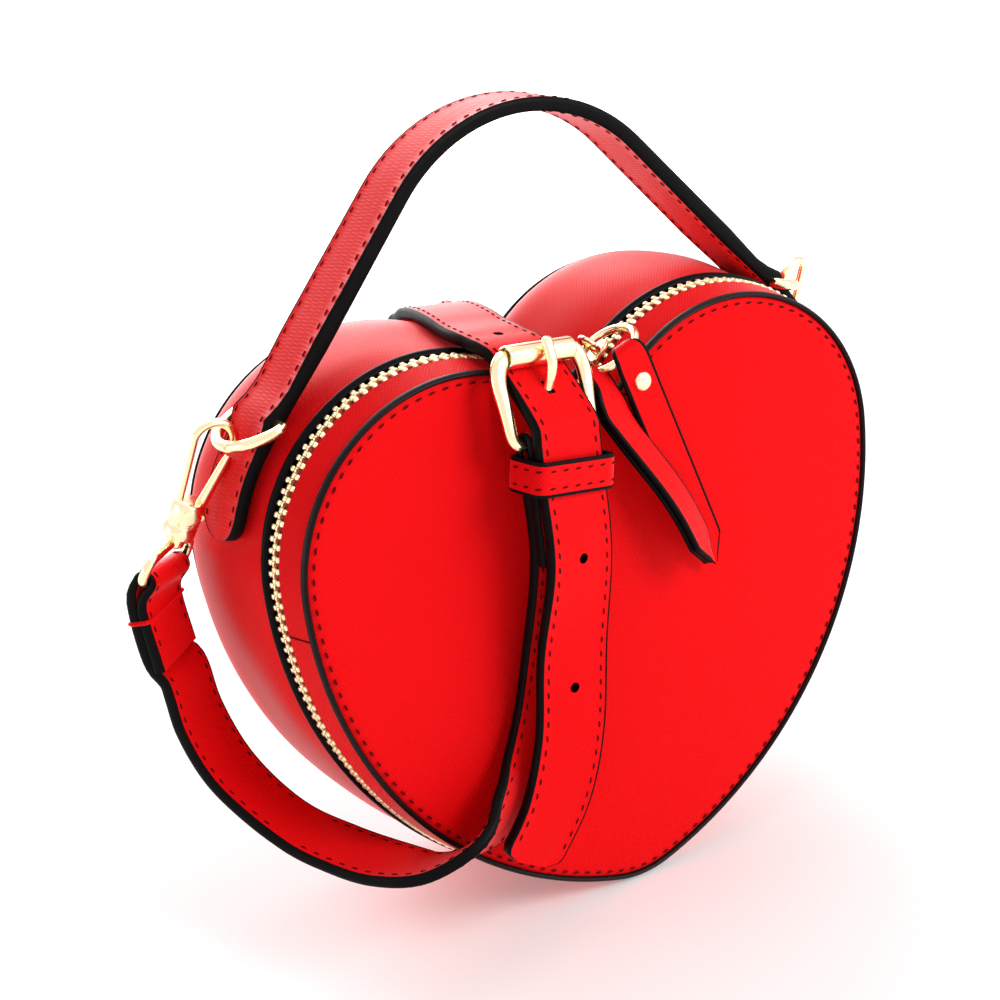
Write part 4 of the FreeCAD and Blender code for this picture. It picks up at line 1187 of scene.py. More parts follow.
class PURSE_OT_front(bpy.types.Operator):
    """Front panel, its edging, its stitches, the strip beside the zip and the strip under the tip"""
    bl_idname = "purse.front"
    bl_label = "Front"

    def execute(self, context):
        s = sizes("sheets")
        h = sizes("heart")
        heart = Heart()
        leather = [finishes["leather"]]
        face = -heart.half_depth
        back = face + s.panel_thickness
        piece = heart_disc("front_leather", heart, face, back, -s.panel_inset, h.panel_dome, h.panel_roll,
                           leather, -1)
        settle(piece, "front", "red_leather", "front_panel")
        loop = round_loop(face + s.front_edging_depth, s.front_edging_growth, s.front_edging_radius,
                          s.front_edging_stretch)
        rim = heart_sweep("front_edging", heart, loop, [finishes["edging"]])
        settle(rim, "front", "black_edging", "front_piping")
        settle(panel_stitches("front_stitches", heart, -1), "front", "red_leather")
        start = back + s.fold_gap
        end = sizes("zip").setback + face - s.strip_to_zip
        order = heart.beside_tip(s.hinge_half)
        strip = heart_sweep("front_strip_leather", heart, strip_loop(start, end), leather, order=order)
        settle(strip, "front", "red_leather", "front_zip_strip")
        flat = heart.at(0)
        left = [k for k in range(len(flat)) if flat[k, 0] < 0]
        i = min(left, key=lambda k: abs(flat[k, 1] - s.seam_height))
        seam = []
        for part in np.linspace(*SEAM_SPAN, SEAM_STEPS):
            growth = s.strip_front_growth + part * (s.strip_rear_growth - s.strip_front_growth)
            x, z = heart.at(growth)[i]
            seam.append((x, start + part * (end - start), z))
        line = tube_piece("strip_seam", seam, SEAM_RADIUS, finishes["thread"], sides=SEAM_SIDES)
        settle(line, "front", "red_leather")
        rear = s.rim_setback + face - s.rim_radius - s.fold_gap
        order = heart.under_tip(s.hinge_half - s.hinge_gap)
        loop = strip_loop(start, rear)
        tip = heart_sweep("tip_strip_leather", heart, loop, leather, order=order, floor=0.0)
        settle(tip, "bag", "red_leather", "hinge_strip")
        return {"FINISHED"}


# Zip

# Sections of a zip tooth: a share of its reach, of its foot's width and of its height
TOOTH_SECTIONS = (
    (0.0, 0.55, 0.55), (0.05, 0.85, 0.85), (0.14, 1.0, 1.0), (0.34, 1.0, 1.0), (0.44, 0.80, 0.86),
    (0.52, 0.52, 0.74), (0.64, 0.52, 0.74), (0.70, 0.90, 0.92), (0.76, 0.97, 1.0), (0.94, 0.97, 1.0),
    (1.0, 0.80, 0.84),
)
# Sides of a tooth's sections, and how round they are: 1 is round and 0 is square
TOOTH_SIDES = 10
TOOTH_ROUNDNESS = 0.6
# Section of a tape from the middle of the zip: shares of its width and of its rise
TAPE_SECTION = ((0.0, 1.0), (0.32, 0.85), (0.52, 0.35), (1.0, 0.0))


def tooth_template():
    """One zip tooth. X runs along the zip, Y across it from the foot and Z out of it."""
    z = sizes("zip")
    tall = (z.tooth_high - z.tooth_low) / 2
    turns = [2 * math.pi * k / TOOTH_SIDES for k in range(TOOTH_SIDES)]
    work = bmesh.new()
    rings = []
    for part, wide, high in TOOTH_SECTIONS:
        ring = []
        for turn in turns:
            x, up = (math.copysign(abs(v) ** TOOTH_ROUNDNESS, v) for v in (math.cos(turn), math.sin(turn)))
            place = (x * wide * z.tooth_width / 2, part * z.tooth_reach, up * high * tall)
            ring.append(work.verts.new(place))
        rings.append(ring)
    for first, second in zip(rings, rings[1:]):
        for k in range(len(turns)):
            work.faces.new((first[k], first[k - 1], second[k - 1], second[k]))
    work.faces.new(rings[0])
    work.faces.new(rings[-1][::-1])
    bmesh.ops.recalc_face_normals(work, faces=list(work.faces))
    return template_of(work)


class PURSE_OT_zip(bpy.types.Operator):
    """Zip tapes and their separate teeth"""
    bl_idname = "purse.zip"
    bl_label = "Zip"

    def execute(self, context):
        s = sizes("sheets")
        z = sizes("zip")
        heart = Heart()
        order = heart.beside_tip(s.hinge_half)
        zip_y = z.setback - heart.half_depth
        template = tooth_template()
        flat = heart.at(z.tooth_low)[order]
        out = heart.out[order]
        run = running(flat)
        rise = (z.tooth_high - z.tooth_low) / 2
        for side, body, word, phase in ((-1, "front", "front", 0.0), (1, "bag", "rear", 0.5)):
            edge = zip_y + side * z.half_gap
            fall = z.tape_rise - z.tape_growth
            rows = sorted((edge + side * part * z.tape_reach, z.tape_growth + fall * rise_part)
                          for part, rise_part in TAPE_SECTION)
            loop = band_loop(rows, z.tape_thickness)
            tape = heart_sweep(word + "_tape_cloth", heart, loop, [finishes["tape"]], order=order)
            settle(tape, body, "zip_tape", word + "_zip_tape")
            count = int(run[-1] // z.pitch) - 1
            spots = (np.arange(count) + 0.5 + phase) * z.pitch
            places = []
            for spot in spots:
                x, height = (np.interp(spot, run, flat[:, k]) for k in (0, 1))
                up = unit([np.interp(spot, run, out[:, 0]), 0, np.interp(spot, run, out[:, 1])])
                inward = -side * BACKWARD
                along = np.cross(inward, up)
                start = zip_y + side * (z.tooth_reach - z.tooth_overlap)
                places.append((np.array([x, start, height]) + up * rise, np.stack([along, inward, up])))
            teeth = copies_piece(word + "_teeth", template, places, [finishes["zip_gold"]])
            settle(teeth, body, "zip_metal", word + "_zip_teeth")
        return {"FINISHED"}


# Handle

# Turns on the lobe where a sewn end starts and over which it is finely stepped,
# and the points of each stretch
HANDLE_TAB = math.radians(12.0)
HANDLE_TAB_REACH = 0.2
HANDLE_TAB_STEPS = 14
HANDLE_LOBE_STEPS = 26
HANDLE_LEG_STEPS = 16
HANDLE_TOP_STEPS = 24
# Swell of the handle: shares of the way from an end to the top, and of the swell
HANDLE_SWELL_AT = (0.28, 0.4, 0.6, 1.0)
HANDLE_SWELL = (0, 1, 0.7, 0.2)
# Bulge of the handle over a D-ring's bar
RING_BULGE = 0.0024
RING_BULGE_REACH = 0.0050
HANDLE_STITCH_TRIM = 4


def handle_route(heart):
    """Middle line of the handle, from the end of its right tab over the top to the left."""
    s = sizes("strap")
    seat = heart.lobe_radius + sizes("sheets").gusset_crown + s.handle_seat_gap
    half = s.handle_thickness / 2
    top_r = s.handle_top_radius - half
    top_z = s.handle_apex - s.handle_top_radius
    apart = math.hypot(heart.spread, heart.lobe_z - top_z)
    slope = math.atan2(heart.lobe_z - top_z, heart.spread)
    leg = slope + math.acos((s.handle_top_radius - seat - s.handle_thickness) / apart)
    lobe_r = seat + half
    fine = HANDLE_TAB + HANDLE_TAB_REACH
    turns = np.concatenate([np.linspace(HANDLE_TAB, fine, HANDLE_TAB_STEPS, endpoint=False),
                            np.linspace(fine, leg, HANDLE_LOBE_STEPS)])
    right = [(heart.spread + lobe_r * math.cos(a), heart.lobe_z + lobe_r * math.sin(a)) for a in turns]
    turns = np.linspace(leg, math.pi / 2, HANDLE_TOP_STEPS)
    over = [(top_r * math.cos(a), top_z + top_r * math.sin(a)) for a in turns]
    start, end = np.array(right[-1]), np.array(over[0])
    straight = [tuple(start + (end - start) * u) for u in np.linspace(0, 1, HANDLE_LEG_STEPS)[1:-1]]
    half_path = np.array(right + straight + over)
    path = np.vstack([half_path, half_path[:-1][::-1] * (-1, 1)])
    return Route(in_depth(path, s.handle_centre), BACKWARD, s.handle_width, s.handle_thickness)


class PURSE_OT_handle(bpy.types.Operator):
    """Carrying handle with its sewn ends"""
    bl_idname = "purse.handle"
    bl_label = "Handle"

    def execute(self, context):
        s = sizes("strap")
        heart = Heart()
        route = handle_route(heart).rounded(True, True, s.tab_corner)
        run = running(route.centre)
        inward = np.minimum(run, run[-1] - run)
        swell = np.interp(inward / inward.max(), HANDLE_SWELL_AT, HANDLE_SWELL)
        route.thickness = route.thickness + s.handle_swell * swell
        for joint in ("ring_lift_left", "ring_lift_right"):
            bar = joint_place(joint)
            far = np.linalg.norm(route.centre[:, [0, 2]] - bar[[0, 2]], axis=1)
            bulge = RING_BULGE * np.exp(-(far / RING_BULGE_REACH) ** 2)
            outward = np.sign(np.sum(route.through * (route.centre - (0, 0, heart.lobe_z)), axis=1))
            route.centre = route.centre + route.through * (outward * bulge / 2)[:, None]
            route.thickness = route.thickness + bulge
        piece = strap_piece("handle_leather", route)
        settle(piece, "bag", "red_leather", "handle")
        thread = stitches_piece("handle_stitches", strap_stitches(route, trim=HANDLE_STITCH_TRIM))
        settle(thread, "bag", "red_leather")
        return {"FINISHED"}


def joint_row(name):
    """A joint of the packed record."""
    return next(j for j in frame["joints"] if j["name"] == name)


def joint_place(name):
    """Point that a joint turns about."""
    return np.array(joint_row(name)["pos_m"], float)


def joint_axis(name):
    """Way of a joint's axis."""
    return unit(joint_row(name)["axis"])


# Clasps

# Way of the strap loop's bar before it is set square to the clasp
CLASP_AIM = {"left": (0.80, 0.60, 0.0), "right": (0.70, -0.71, 0.0)}
# Points of a D-ring's bar and bow, and the share of the bow's radius that the bar spans
RING_BAR_STEPS = 9
RING_BOW_STEPS = 33
RING_BAR_SHARE = 0.94
# The hook: turn at its tip, points of its bend, stretch and points of its shank, and radii at some points
HOOK_TIP = -0.12
HOOK_BEND_STEPS = 24
HOOK_SHANK = (0.12, 1.0)
HOOK_SHANK_STEPS = 9
HOOK_STOPS = (0, 2, 8, 20)
HOOK_RADII = (0.0010, 0.0014, 0.0014, 0.0013, 0.00125)
HOOK_FOOT_INSET = 0.0016
HOOK_FOOT_SINK = 0.001
# The barrel: places from its top, from its groove and from its end, each with a share of its radius
BARREL_TOP = ((0.0, 0.72), (0.0003, 0.88), (0.0011, 0.98), (0.0020, 1.0))
BARREL_GROOVE = ((-0.0008, 1.0), (-0.0004, 0.93), (0.0004, 0.93), (0.0008, 1.0))
BARREL_END = ((-0.0013, 1.0), (-0.0005, 0.95), (0.0, 0.75))
GROOVE_DROP = 0.0016
# The boss on the barrel: how far it stands out, its height over the groove, and its insets with radii
BOSS_STAND = 0.0004
BOSS_RISE = 0.0040
BOSS_END = ((0.0, 0.0016), (0.0002, 0.0022), (0.0006, 0.0030))
# The gate: its points, its radii along it in wire radii, its flatness, and the edge of its eye
GATE_STEPS = 14
GATE_STOPS = (0, 0.3, 0.9, 1.0)
GATE_RADII = (1.3, 1.2, 1.1, 0.8)
GATE_FLATNESS = 0.7
GATE_EYE_EDGE = 0.85
# The strap loop: its corners and spacing, and its collar's gap, overlap in wire radii, places and radii
LOOP_CORNER = 0.0042
LOOP_STEP = 0.0012
COLLAR_GAP = 0.0001
COLLAR_OVERLAP = 0.9
COLLAR_LOW = ((0.0, 0.0026), (0.0003, 0.0030))
COLLAR_HIGH = ((-0.0008, 0.0030), (-0.0002, 0.0026), (0.0, 0.0018))


class Clasp:
    """Axes of one clasp: down its length, across its hook and through its hook."""

    def __init__(self, word):
        c = sizes("clasp")
        self.side = -1 if word == "left" else 1
        self.down = joint_axis("hook_swivel_" + word)
        through = joint_axis("gate_open_" + word)
        self.through = through * np.sign(through[1])
        self.across = np.cross(self.down, self.through) * -self.side
        self.centre = joint_place("gate_open_" + word) - self.across * c.pivot_out - self.down * c.pivot_down
        aim = np.array(CLASP_AIM[word])
        self.bar_way = unit(aim - self.down * aim.dot(self.down))
        self.bar = self.centre + self.down * c.bar_down

    def at(self, across, down, through=0.0):
        """Point of the clasp from its crown's centre."""
        return self.centre + self.across * across + self.down * down + self.through * through

    def loop_at(self, across, down):
        """Point of the strap loop from the crown's centre."""
        return self.centre + self.bar_way * across + self.down * down


def ring_piece(word, clasp):
    """D-ring: a straight bar closed by a round bow."""
    c = sizes("clasp")
    bar = joint_place("ring_lift_" + word)
    out = np.array([clasp.side * math.cos(c.ring_droop), 0, -math.sin(c.ring_droop)])
    spans = np.linspace(-RING_BAR_SHARE, RING_BAR_SHARE, RING_BAR_STEPS)
    straight = [bar + BACKWARD * c.ring_reach * u for u in spans]
    turns = np.linspace(0, math.pi, RING_BOW_STEPS)[1:-1]
    bow = [bar + c.ring_reach * (BACKWARD * math.cos(a) + out * math.sin(a)) for a in turns]
    return tube_piece("ring_" + word, straight + bow, c.ring_wire, finishes["gold"], closed=True)


def turned_rows(start, rows, full):
    """Rows of a turned profile from a start, with radii given as shares of a full one."""
    return [(start + along, full * part) for along, part in rows]


def hook_pieces(word, clasp):
    """Bent hook and its turned barrel."""
    c = sizes("clasp")
    turns = np.linspace(HOOK_TIP, math.pi, HOOK_BEND_STEPS)
    hook = [clasp.at(c.crown * math.cos(a), -c.crown * math.sin(a)) for a in turns]
    foot = c.barrel_radius - HOOK_FOOT_INSET
    low = c.barrel_top + HOOK_FOOT_SINK
    shank = np.linspace(*HOOK_SHANK, HOOK_SHANK_STEPS)
    hook += [clasp.at(-c.crown + (c.crown - foot) * u, low * u) for u in shank]
    radii = np.interp(np.arange(len(hook)), (*HOOK_STOPS, len(hook) - 1), HOOK_RADII)
    bent = tube_piece("hook_wire_" + word, hook, radii, finishes["gold"])
    full, top, bottom = c.barrel_radius, c.barrel_top, c.barrel_bottom
    groove = (top + bottom) / 2 + GROOVE_DROP
    profile = turned_rows(top, BARREL_TOP, full)
    profile += turned_rows(groove, BARREL_GROOVE, full)
    profile += turned_rows(bottom, BARREL_END, full)
    turned = lathe_piece("barrel_turned_" + word, clasp.centre, clasp.down, profile, finishes["gold"])
    reach = full + BOSS_STAND
    profile = mirrored([(reach - inset, radius) for inset, radius in BOSS_END])
    spot = clasp.at(0, groove - BOSS_RISE)
    boss = lathe_piece("barrel_boss_" + word, spot, clasp.through, profile, finishes["gold"])
    return bent, merged("barrel_" + word, [turned, boss])


def gate_piece(word, clasp):
    """Sprung gate with the eye it turns on."""
    c = sizes("clasp")
    foot = clasp.at(c.pivot_out, c.pivot_down)
    tip = clasp.at(c.crown, c.gate_tip)
    parts = np.linspace(0, 1, GATE_STEPS)
    arm = [foot + (tip - foot) * u for u in parts]
    radii = np.interp(parts, GATE_STOPS, np.array(GATE_RADII) * c.gate_wire)
    bar = tube_piece("gate_arm_" + word, arm, radii, finishes["gold"], flat=GATE_FLATNESS,
                     flat_way=clasp.through)
    half = c.eye_width / 2
    profile = mirrored([(half, c.eye_radius * GATE_EYE_EDGE), (half * GATE_EYE_EDGE, c.eye_radius)])
    eye = lathe_piece("gate_eye_" + word, foot, clasp.through, profile, finishes["gold"])
    return merged("gate_" + word, [bar, eye])


def loop_piece(word, clasp):
    """Strap loop with the collar that turns under the barrel."""
    c = sizes("clasp")
    corners = [(c.neck_half, c.neck_down), (c.loop_half, c.shoulder_down), (c.loop_half, c.bar_down)]
    corners += [(-across, down) for across, down in reversed(corners)]
    path = rounded_ring([clasp.loop_at(*corner) for corner in corners], LOOP_CORNER, LOOP_STEP)
    wire = tube_piece("loop_wire_" + word, path, c.loop_wire, finishes["gold"], closed=True)
    low, high = c.barrel_bottom + COLLAR_GAP, c.neck_down + c.loop_wire * COLLAR_OVERLAP
    profile = [(low + along, radius) for along, radius in COLLAR_LOW]
    profile += [(high + along, radius) for along, radius in COLLAR_HIGH]
    collar = lathe_piece("loop_collar_" + word, clasp.centre, clasp.down, profile, finishes["gold"])
    return merged("strap_loop_" + word, [wire, collar])


class PURSE_OT_clasps(bpy.types.Operator):
    """D-rings and swivel clasps at both ends of the handle"""
    bl_idname = "purse.clasps"
    bl_label = "Clasps"

    def execute(self, context):
        for word in ("left", "right"):
            clasp = Clasp(word)
            settle(ring_piece(word, clasp), "ring_" + word, "gold_metal", "d_ring_" + word)
            for piece in hook_pieces(word, clasp):
                settle(piece, "hook_" + word, "gold_metal", "clasp_hook_" + word)
            settle(gate_piece(word, clasp), "gate_" + word, "gold_metal", "clasp_gate_" + word)
            settle(loop_piece(word, clasp), "ring_" + word, "gold_metal", "swivel_loop_" + word)
        return {"FINISHED"}


# Buckle and shoulder strap

# The buckle's sides: shares of the bow and of the height, and the width at the roller in half widths
BUCKLE_SIDE = ((0.0, 0.0), (0.2, 0.35), (1.0, 0.76))
BUCKLE_TOP = 0.93
BUCKLE_CORNER = 0.0050
BUCKLE_STEP = 0.0008
BUCKLE_SIDES = 20
BUCKLE_FLATNESS = 0.8
# Where the bars thicken into the sides: how far inside a side's centre, and over what length
BUCKLE_THICK_INSET = 0.0042
BUCKLE_THICK_RUN = 0.0020
# An end of the roller from its bore outward: insets and shares of its radius
ROLLER_END = ((0.0020, 0.64), (0.0004, 0.78), (0.0, 0.88), (0.0002, 0.96), (0.0007, 1.0))
# The prong: where it starts in eye radii, where it bends in reaches, its top past the roller with its lift,
# its spacing, and its radii along it in prong radii
PRONG_START = 0.8
PRONG_BEND = 0.46
PRONG_TOP = ((-0.0045, 0.0), (0.0020, 0.0), (0.0040, -0.0002))
PRONG_STEP = 0.0009
PRONG_STOPS = (0, 0.5, 0.92, 0.98, 1.0)
PRONG_RADII = (0.95, 0.95, 1.05, 0.9, 0.5)
PRONG_FLATNESS = 0.75
# An end of the prong's eye: shares of its half width and of its radius
PRONG_EYE_END = ((1.0, 0.86), (0.8, 0.98))
KEEPER_CORNER = 0.0030
KEEPER_STEP = 0.0010


class Buckle:
    """Axes of the buckle from the middle of its hinge bar, and how the straps are stacked on the front."""

    def __init__(self):
        b = sizes("buckle")
        s = sizes("strap")
        self.bar = joint_place("prong_lift")
        rise = joint_place("roller_spin") - self.bar
        self.reach = np.linalg.norm(rise)
        self.up = rise / self.reach
        across = joint_axis("prong_lift")
        self.across = across * np.sign(across[0])
        self.out = np.cross(self.across, self.up)
        self.level = unit(self.across * (1, 1, 0))
        self.ahead = np.cross(self.level, (0, 0, 1))
        self.tail = b.fold_thickness / 2 + b.strap_gap + s.thickness / 2
        self.low = self.bar - (0, 0, s.buckle_fold)
        self.under = self.bar - (0, 0, b.level_drop)

    def at(self, across, up, out=0.0):
        """Point of the buckle."""
        return self.bar + self.across * across + self.up * up + self.out * out


class PURSE_OT_buckle(bpy.types.Operator):
    """Buckle frame, roller, prong and leather keeper"""
    bl_idname = "purse.buckle"
    bl_label = "Buckle"

    def execute(self, context):
        b = sizes("buckle")
        s = sizes("strap")
        buckle = Buckle()
        gold = finishes["gold"]
        side = [(b.half_width + b.bow * part, up) for part, up in BUCKLE_SIDE]
        side.append((b.half_width * BUCKLE_TOP, 1.0))
        corners = [buckle.at(wide, part * buckle.reach) for wide, part in side]
        corners += [buckle.at(-wide, part * buckle.reach) for wide, part in reversed(side)]
        path = rounded_ring(corners, BUCKLE_CORNER, BUCKLE_STEP)
        local = path - buckle.bar
        aside = np.abs(local @ buckle.across)
        height = np.clip(local @ buckle.up / buckle.reach, 0, 1)
        bars = np.where(height < 0.5, b.hinge_bar, b.roller_bar)
        thick = np.clip((aside - b.half_width + BUCKLE_THICK_INSET) / BUCKLE_THICK_RUN, 0, 1)
        wires = b.wire_low + (b.wire - b.wire_low) * height
        radii = bars + (wires - bars) * thick
        bow = tube_piece("buckle_bow", path, radii, gold, closed=True, sides=BUCKLE_SIDES,
                         flat=BUCKLE_FLATNESS, flat_way=buckle.out)
        settle(bow, "front", "gold_metal", "buckle_frame")
        half, full = b.roller_length / 2, b.roller_radius
        profile = mirrored([(half - inset, full * part) for inset, part in ROLLER_END])
        roller = lathe_piece("roller_sleeve", buckle.at(0, buckle.reach), buckle.across, profile, gold)
        settle(roller, "roller", "gold_metal", "buckle_roller")
        rest = b.roller_radius + b.strap_gap + b.prong_radius * PRONG_FLATNESS
        rows = [buckle.at(0, b.prong_eye * PRONG_START), buckle.at(0, buckle.reach * PRONG_BEND)]
        rows += [buckle.at(0, buckle.reach + past, rest + lift) for past, lift in PRONG_TOP]
        path = smooth_rows(rows, PRONG_STEP)
        part = np.linspace(0, 1, len(path))
        radii = np.interp(part, PRONG_STOPS, np.array(PRONG_RADII) * b.prong_radius)
        pin = tube_piece("prong_pin", path, radii, gold, flat=PRONG_FLATNESS, flat_way=buckle.out)
        half, full = b.prong_eye_width / 2, b.prong_eye
        profile = mirrored([(half * wide, full * part) for wide, part in PRONG_EYE_END])
        eye = lathe_piece("prong_eye", buckle.bar, buckle.across, profile, gold)
        settle(merged("prong_tongue", [pin, eye]), "prong", "gold_metal", "buckle_prong")

        wide = s.width / 2 + b.keeper_side_gap + b.keeper_wall / 2
        rear = -(b.fold_thickness / 2 + b.keeper_face_gap + b.keeper_wall / 2)
        fore = buckle.tail + s.thickness / 2 + b.keeper_face_gap + b.keeper_wall / 2
        middle = buckle.bar - (0, 0, b.keeper_drop + b.keeper_height / 2)
        aside = buckle.level * math.cos(b.keeper_tilt) - UPWARD * math.sin(b.keeper_tilt)
        rise = buckle.level * math.sin(b.keeper_tilt) + UPWARD * math.cos(b.keeper_tilt)
        corners = [middle + aside * (side * wide) + buckle.ahead * far
                   for side, far in ((-1, fore), (1, fore), (1, rear), (-1, rear))]
        path = rounded_ring(corners, KEEPER_CORNER, KEEPER_STEP)
        route = Route(path, rise, b.keeper_height, b.keeper_wall, closed=True)
        band = strap_piece("keeper_leather", route)
        settle(band, "keeper", "red_leather", "strap_keeper")
        out = np.sign(np.sum(route.through[0] * (path[0] - path.mean(axis=0))))
        thread = stitches_piece("keeper_stitches", strap_stitches(route, faces=(out,)))
        settle(thread, "keeper", "red_leather")
        return {"FINISHED"}


# Strap routes. Each row is a place in half widths, half depths and lobe heights,
# then the way the strap's width points: degrees about Z and degrees down.
LOOP_ROUTE = (
    (-1.205, 0.375, 0.770, 38.0, 0.0),
    (-1.185, 0.355, 0.650, 37.0, 0.0),
    (-1.140, 0.275, 0.525, 38.0, 0.0),
    (-1.080, 0.110, 0.430, 42.0, 0.0),
    (-1.010, -0.140, 0.356, 45.0, 0.0),
    (-0.935, -0.500, 0.318, 44.0, 0.0),
    (-0.860, -0.880, 0.300, 46.0, 3.0),
    (-0.785, -1.180, 0.302, 60.0, 15.0),
    (-0.665, -1.310, 0.326, 80.0, 34.0),
    (-0.530, -1.240, 0.368, 44.0, 46.0),
    (-0.410, -1.175, 0.432, 8.0, 36.0),
    (-0.330, -1.160, 0.545, 0.0, 22.0),
    (-0.275, -1.175, 0.700, 0.0, 10.0),
)
TAIL_ROUTE = (
    (-0.265, -1.400, 0.740, 0.0, 0.0),
    (-0.305, -1.395, 0.530, 0.0, 0.0),
    (-0.375, -1.385, 0.372, 0.0, 0.0),
    (-0.480, -1.320, 0.235, 0.0, 0.0),
)
BACK_ROUTE = (
    (1.180, 0.920, 0.900, -44.0, 0.0),
    (1.160, 1.060, 0.765, -47.0, 0.0),
    (1.085, 1.220, 0.640, -55.0, 0.0),
    (0.950, 1.370, 0.532, -64.0, 0.0),
    (0.800, 1.470, 0.470, -74.0, 0.0),
    (0.620, 1.520, 0.445, -80.0, 0.0),
    (0.450, 1.520, 0.468, -70.0, 0.0),
    (0.290, 1.470, 0.540, -50.0, 0.0),
    (0.165, 1.385, 0.640, -30.0, 0.0),
    (0.070, 1.290, 0.765, -12.0, 0.0),
    (-0.020, 1.200, 0.905, 0.0, 0.0),
    (-0.090, 1.150, 1.045, 0.0, 0.0),
    (-0.120, 1.180, 1.175, 0.0, 0.0),
    (-0.126, 1.220, 1.285, 0.0, 0.0),
    (-0.124, 1.215, 1.352, 0.0, 0.0),
    (-0.122, 1.140, 1.392, 4.0, 0.0),
)
# The strap over the top: its stations in half depths, its place and its drift in half widths,
# its gap and its tilt
TOP_RUN = (1.0, 0.8, 0.5, 0.15, -0.15, -0.46, -0.62, -0.8)
TOP_RUN_PLACE = -0.225
TOP_RUN_DRIFT = 0.10
TOP_RUN_GAP = 0.001
TOP_RUN_TILT = math.radians(8.0)
# Where it starts to turn, how far before the middle it starts to drift, and over what lengths, in half depths
TOP_TURN = 0.15
TOP_TURN_RUN = 0.95
TOP_DRIFT = 0.4
TOP_DRIFT_RUN = 1.4
# Growth of what it rests on, beside the teeth's tops: at the front and over the zip
TOP_FRONT = -0.0008
TOP_ZIP = 0.0006
# A fold round a bar: its skived thickness, its gap, its points, and where it is nearly full again
FOLD_THIN = 0.0020
FOLD_GAP = 0.0001
FOLD_STEPS = 7
FOLD_NEAR = 0.007
FOLD_NEAR_THICKNESS = 0.0030
STRAP_STITCH_TRIM = 3
# Ways that the outer flaps of the folds at the clasps face
LEFT_FLAP_FACE = (-0.47, -0.81, 0.34)
RIGHT_FLAP_FACE = (0.8, 0.6, 0.0)
# The left fold's end: how far it follows the clasp, and how much less than the fold it hangs
LEFT_FOLD_START = 0.0038
LEFT_FOLD_LESS = 0.0076
# The band sewn round the left fold: lengths along the strap to its flap and past the turn, and its own sizes
TACK_FLAP = 0.017
TACK_BEYOND = 0.036
TACK_GAP = 0.0002
TACK_CORNER = 0.0010
TACK_STEP = 0.0012
TACK_RADIUS = 0.0007
TACK_SIDES = 10
# The slot for the prong's eye and the hole for the prong
SLOT_GAP = 0.001
SLOT_SIZE = 0.016
SLOT_RISE = 0.0006
PRONG_HOLE_LENGTH = 0.0040
PRONG_HOLE_DEPTH = 0.012
PRONG_HOLE_PLACE = 0.6
# Round holes in the long strap, its end's corners, and where it lies flat over the buckle's bar
HOLE_RADIUS = 0.0016
HOLE_REACH = 0.0026
HOLE_SIDES = 20
HOLE_PITCH = 0.0406
HOLE_BEHIND_ROLLER = 0.014
TAIL_CORNER = 0.0050
TAIL_RISE = 0.005


def station(point, across, thickness=None):
    """One row of a strap's route."""
    s = sizes("strap")
    return np.concatenate([point, unit(across), [s.width, thickness or s.thickness]])


def route_stations(heart, rows):
    """Rows of a route table as stations."""
    made = []
    for x, y, z, about, down in rows:
        about, down = math.radians(about), math.radians(down)
        point = np.array([x * heart.half_width, y * heart.half_depth, z * heart.lobe_z])
        across = (math.cos(about) * math.cos(down), math.sin(about) * math.cos(down), -math.sin(down))
        made.append(station(point, across))
    return made


def fold_stations(bar, up, out, across, wire):
    """A skived turn round a bar, from its outer side over the top to its inner side."""
    radius = wire + FOLD_THIN / 2 + FOLD_GAP
    turns = np.linspace(0, math.pi, FOLD_STEPS)
    return [station(bar + radius * (out * math.cos(a) + up * math.sin(a)), across, FOLD_THIN) for a in turns]


def clasp_end(clasp, fold_end, face):
    """A strap's end folded round the clasp's loop: the flap's end first, then round to the long side."""
    way = clasp.bar_way
    out = unit(np.cross(way, clasp.down))
    out = out * np.sign(out.dot(face))
    offset = out * sizes("strap").fold_offset
    near = clasp.bar + clasp.down * FOLD_NEAR
    flap = [station(fold_end + offset, way), station(near + offset, way, FOLD_NEAR_THICKNESS)]
    turn = fold_stations(clasp.bar, -clasp.down, out, way, sizes("clasp").loop_wire)
    back = [station(near - offset, way, FOLD_NEAR_THICKNESS), station(fold_end - offset, way)]
    return flap + turn + back


def strap_route(stations):
    """A smooth route through stations."""
    made = smooth_rows(stations, sizes("strap").route_step)
    return Route(made[:, :3], made[:, 3:6], made[:, 6], made[:, 7])


def top_growth(heart, y):
    """Swell of the bag's outside at one depth."""
    s = sizes("sheets")
    z = sizes("zip")
    rows = [(-heart.half_depth, z.tooth_high + TOP_FRONT),
            (z.setback - heart.half_depth, z.tooth_high + TOP_ZIP),
            (s.rim_setback - heart.half_depth, s.rim_growth + s.rim_radius)] + gusset_rows(heart)
    return np.interp(y, [r[0] for r in rows], [r[1] for r in rows])


def top_station(heart, y):
    """The strap where it crosses over the top, its left edge resting on the lobe."""
    s = sizes("strap")
    tilt = TOP_RUN_TILT
    part = y / heart.half_depth
    level = Buckle().level
    turn = math.atan2(level[1], level[0]) * np.clip(TOP_TURN - part, 0, TOP_TURN_RUN) / TOP_TURN_RUN
    drift = TOP_RUN_DRIFT * np.clip((part + TOP_DRIFT) / TOP_DRIFT_RUN, 0, 1)
    x = (TOP_RUN_PLACE + drift) * heart.half_width
    edge = x - s.width / 2 * math.cos(tilt)
    reach = heart.lobe_radius + top_growth(heart, y) + TOP_RUN_GAP
    seat = heart.lobe_z + math.sqrt(reach ** 2 - (heart.spread + edge) ** 2)
    rise = s.thickness / 2 - s.width / 2 * math.sin(tilt)
    across = (math.cos(tilt) * math.cos(turn), math.cos(tilt) * math.sin(turn), -math.sin(tilt))
    return station(np.array([x, y, seat + rise]), across)


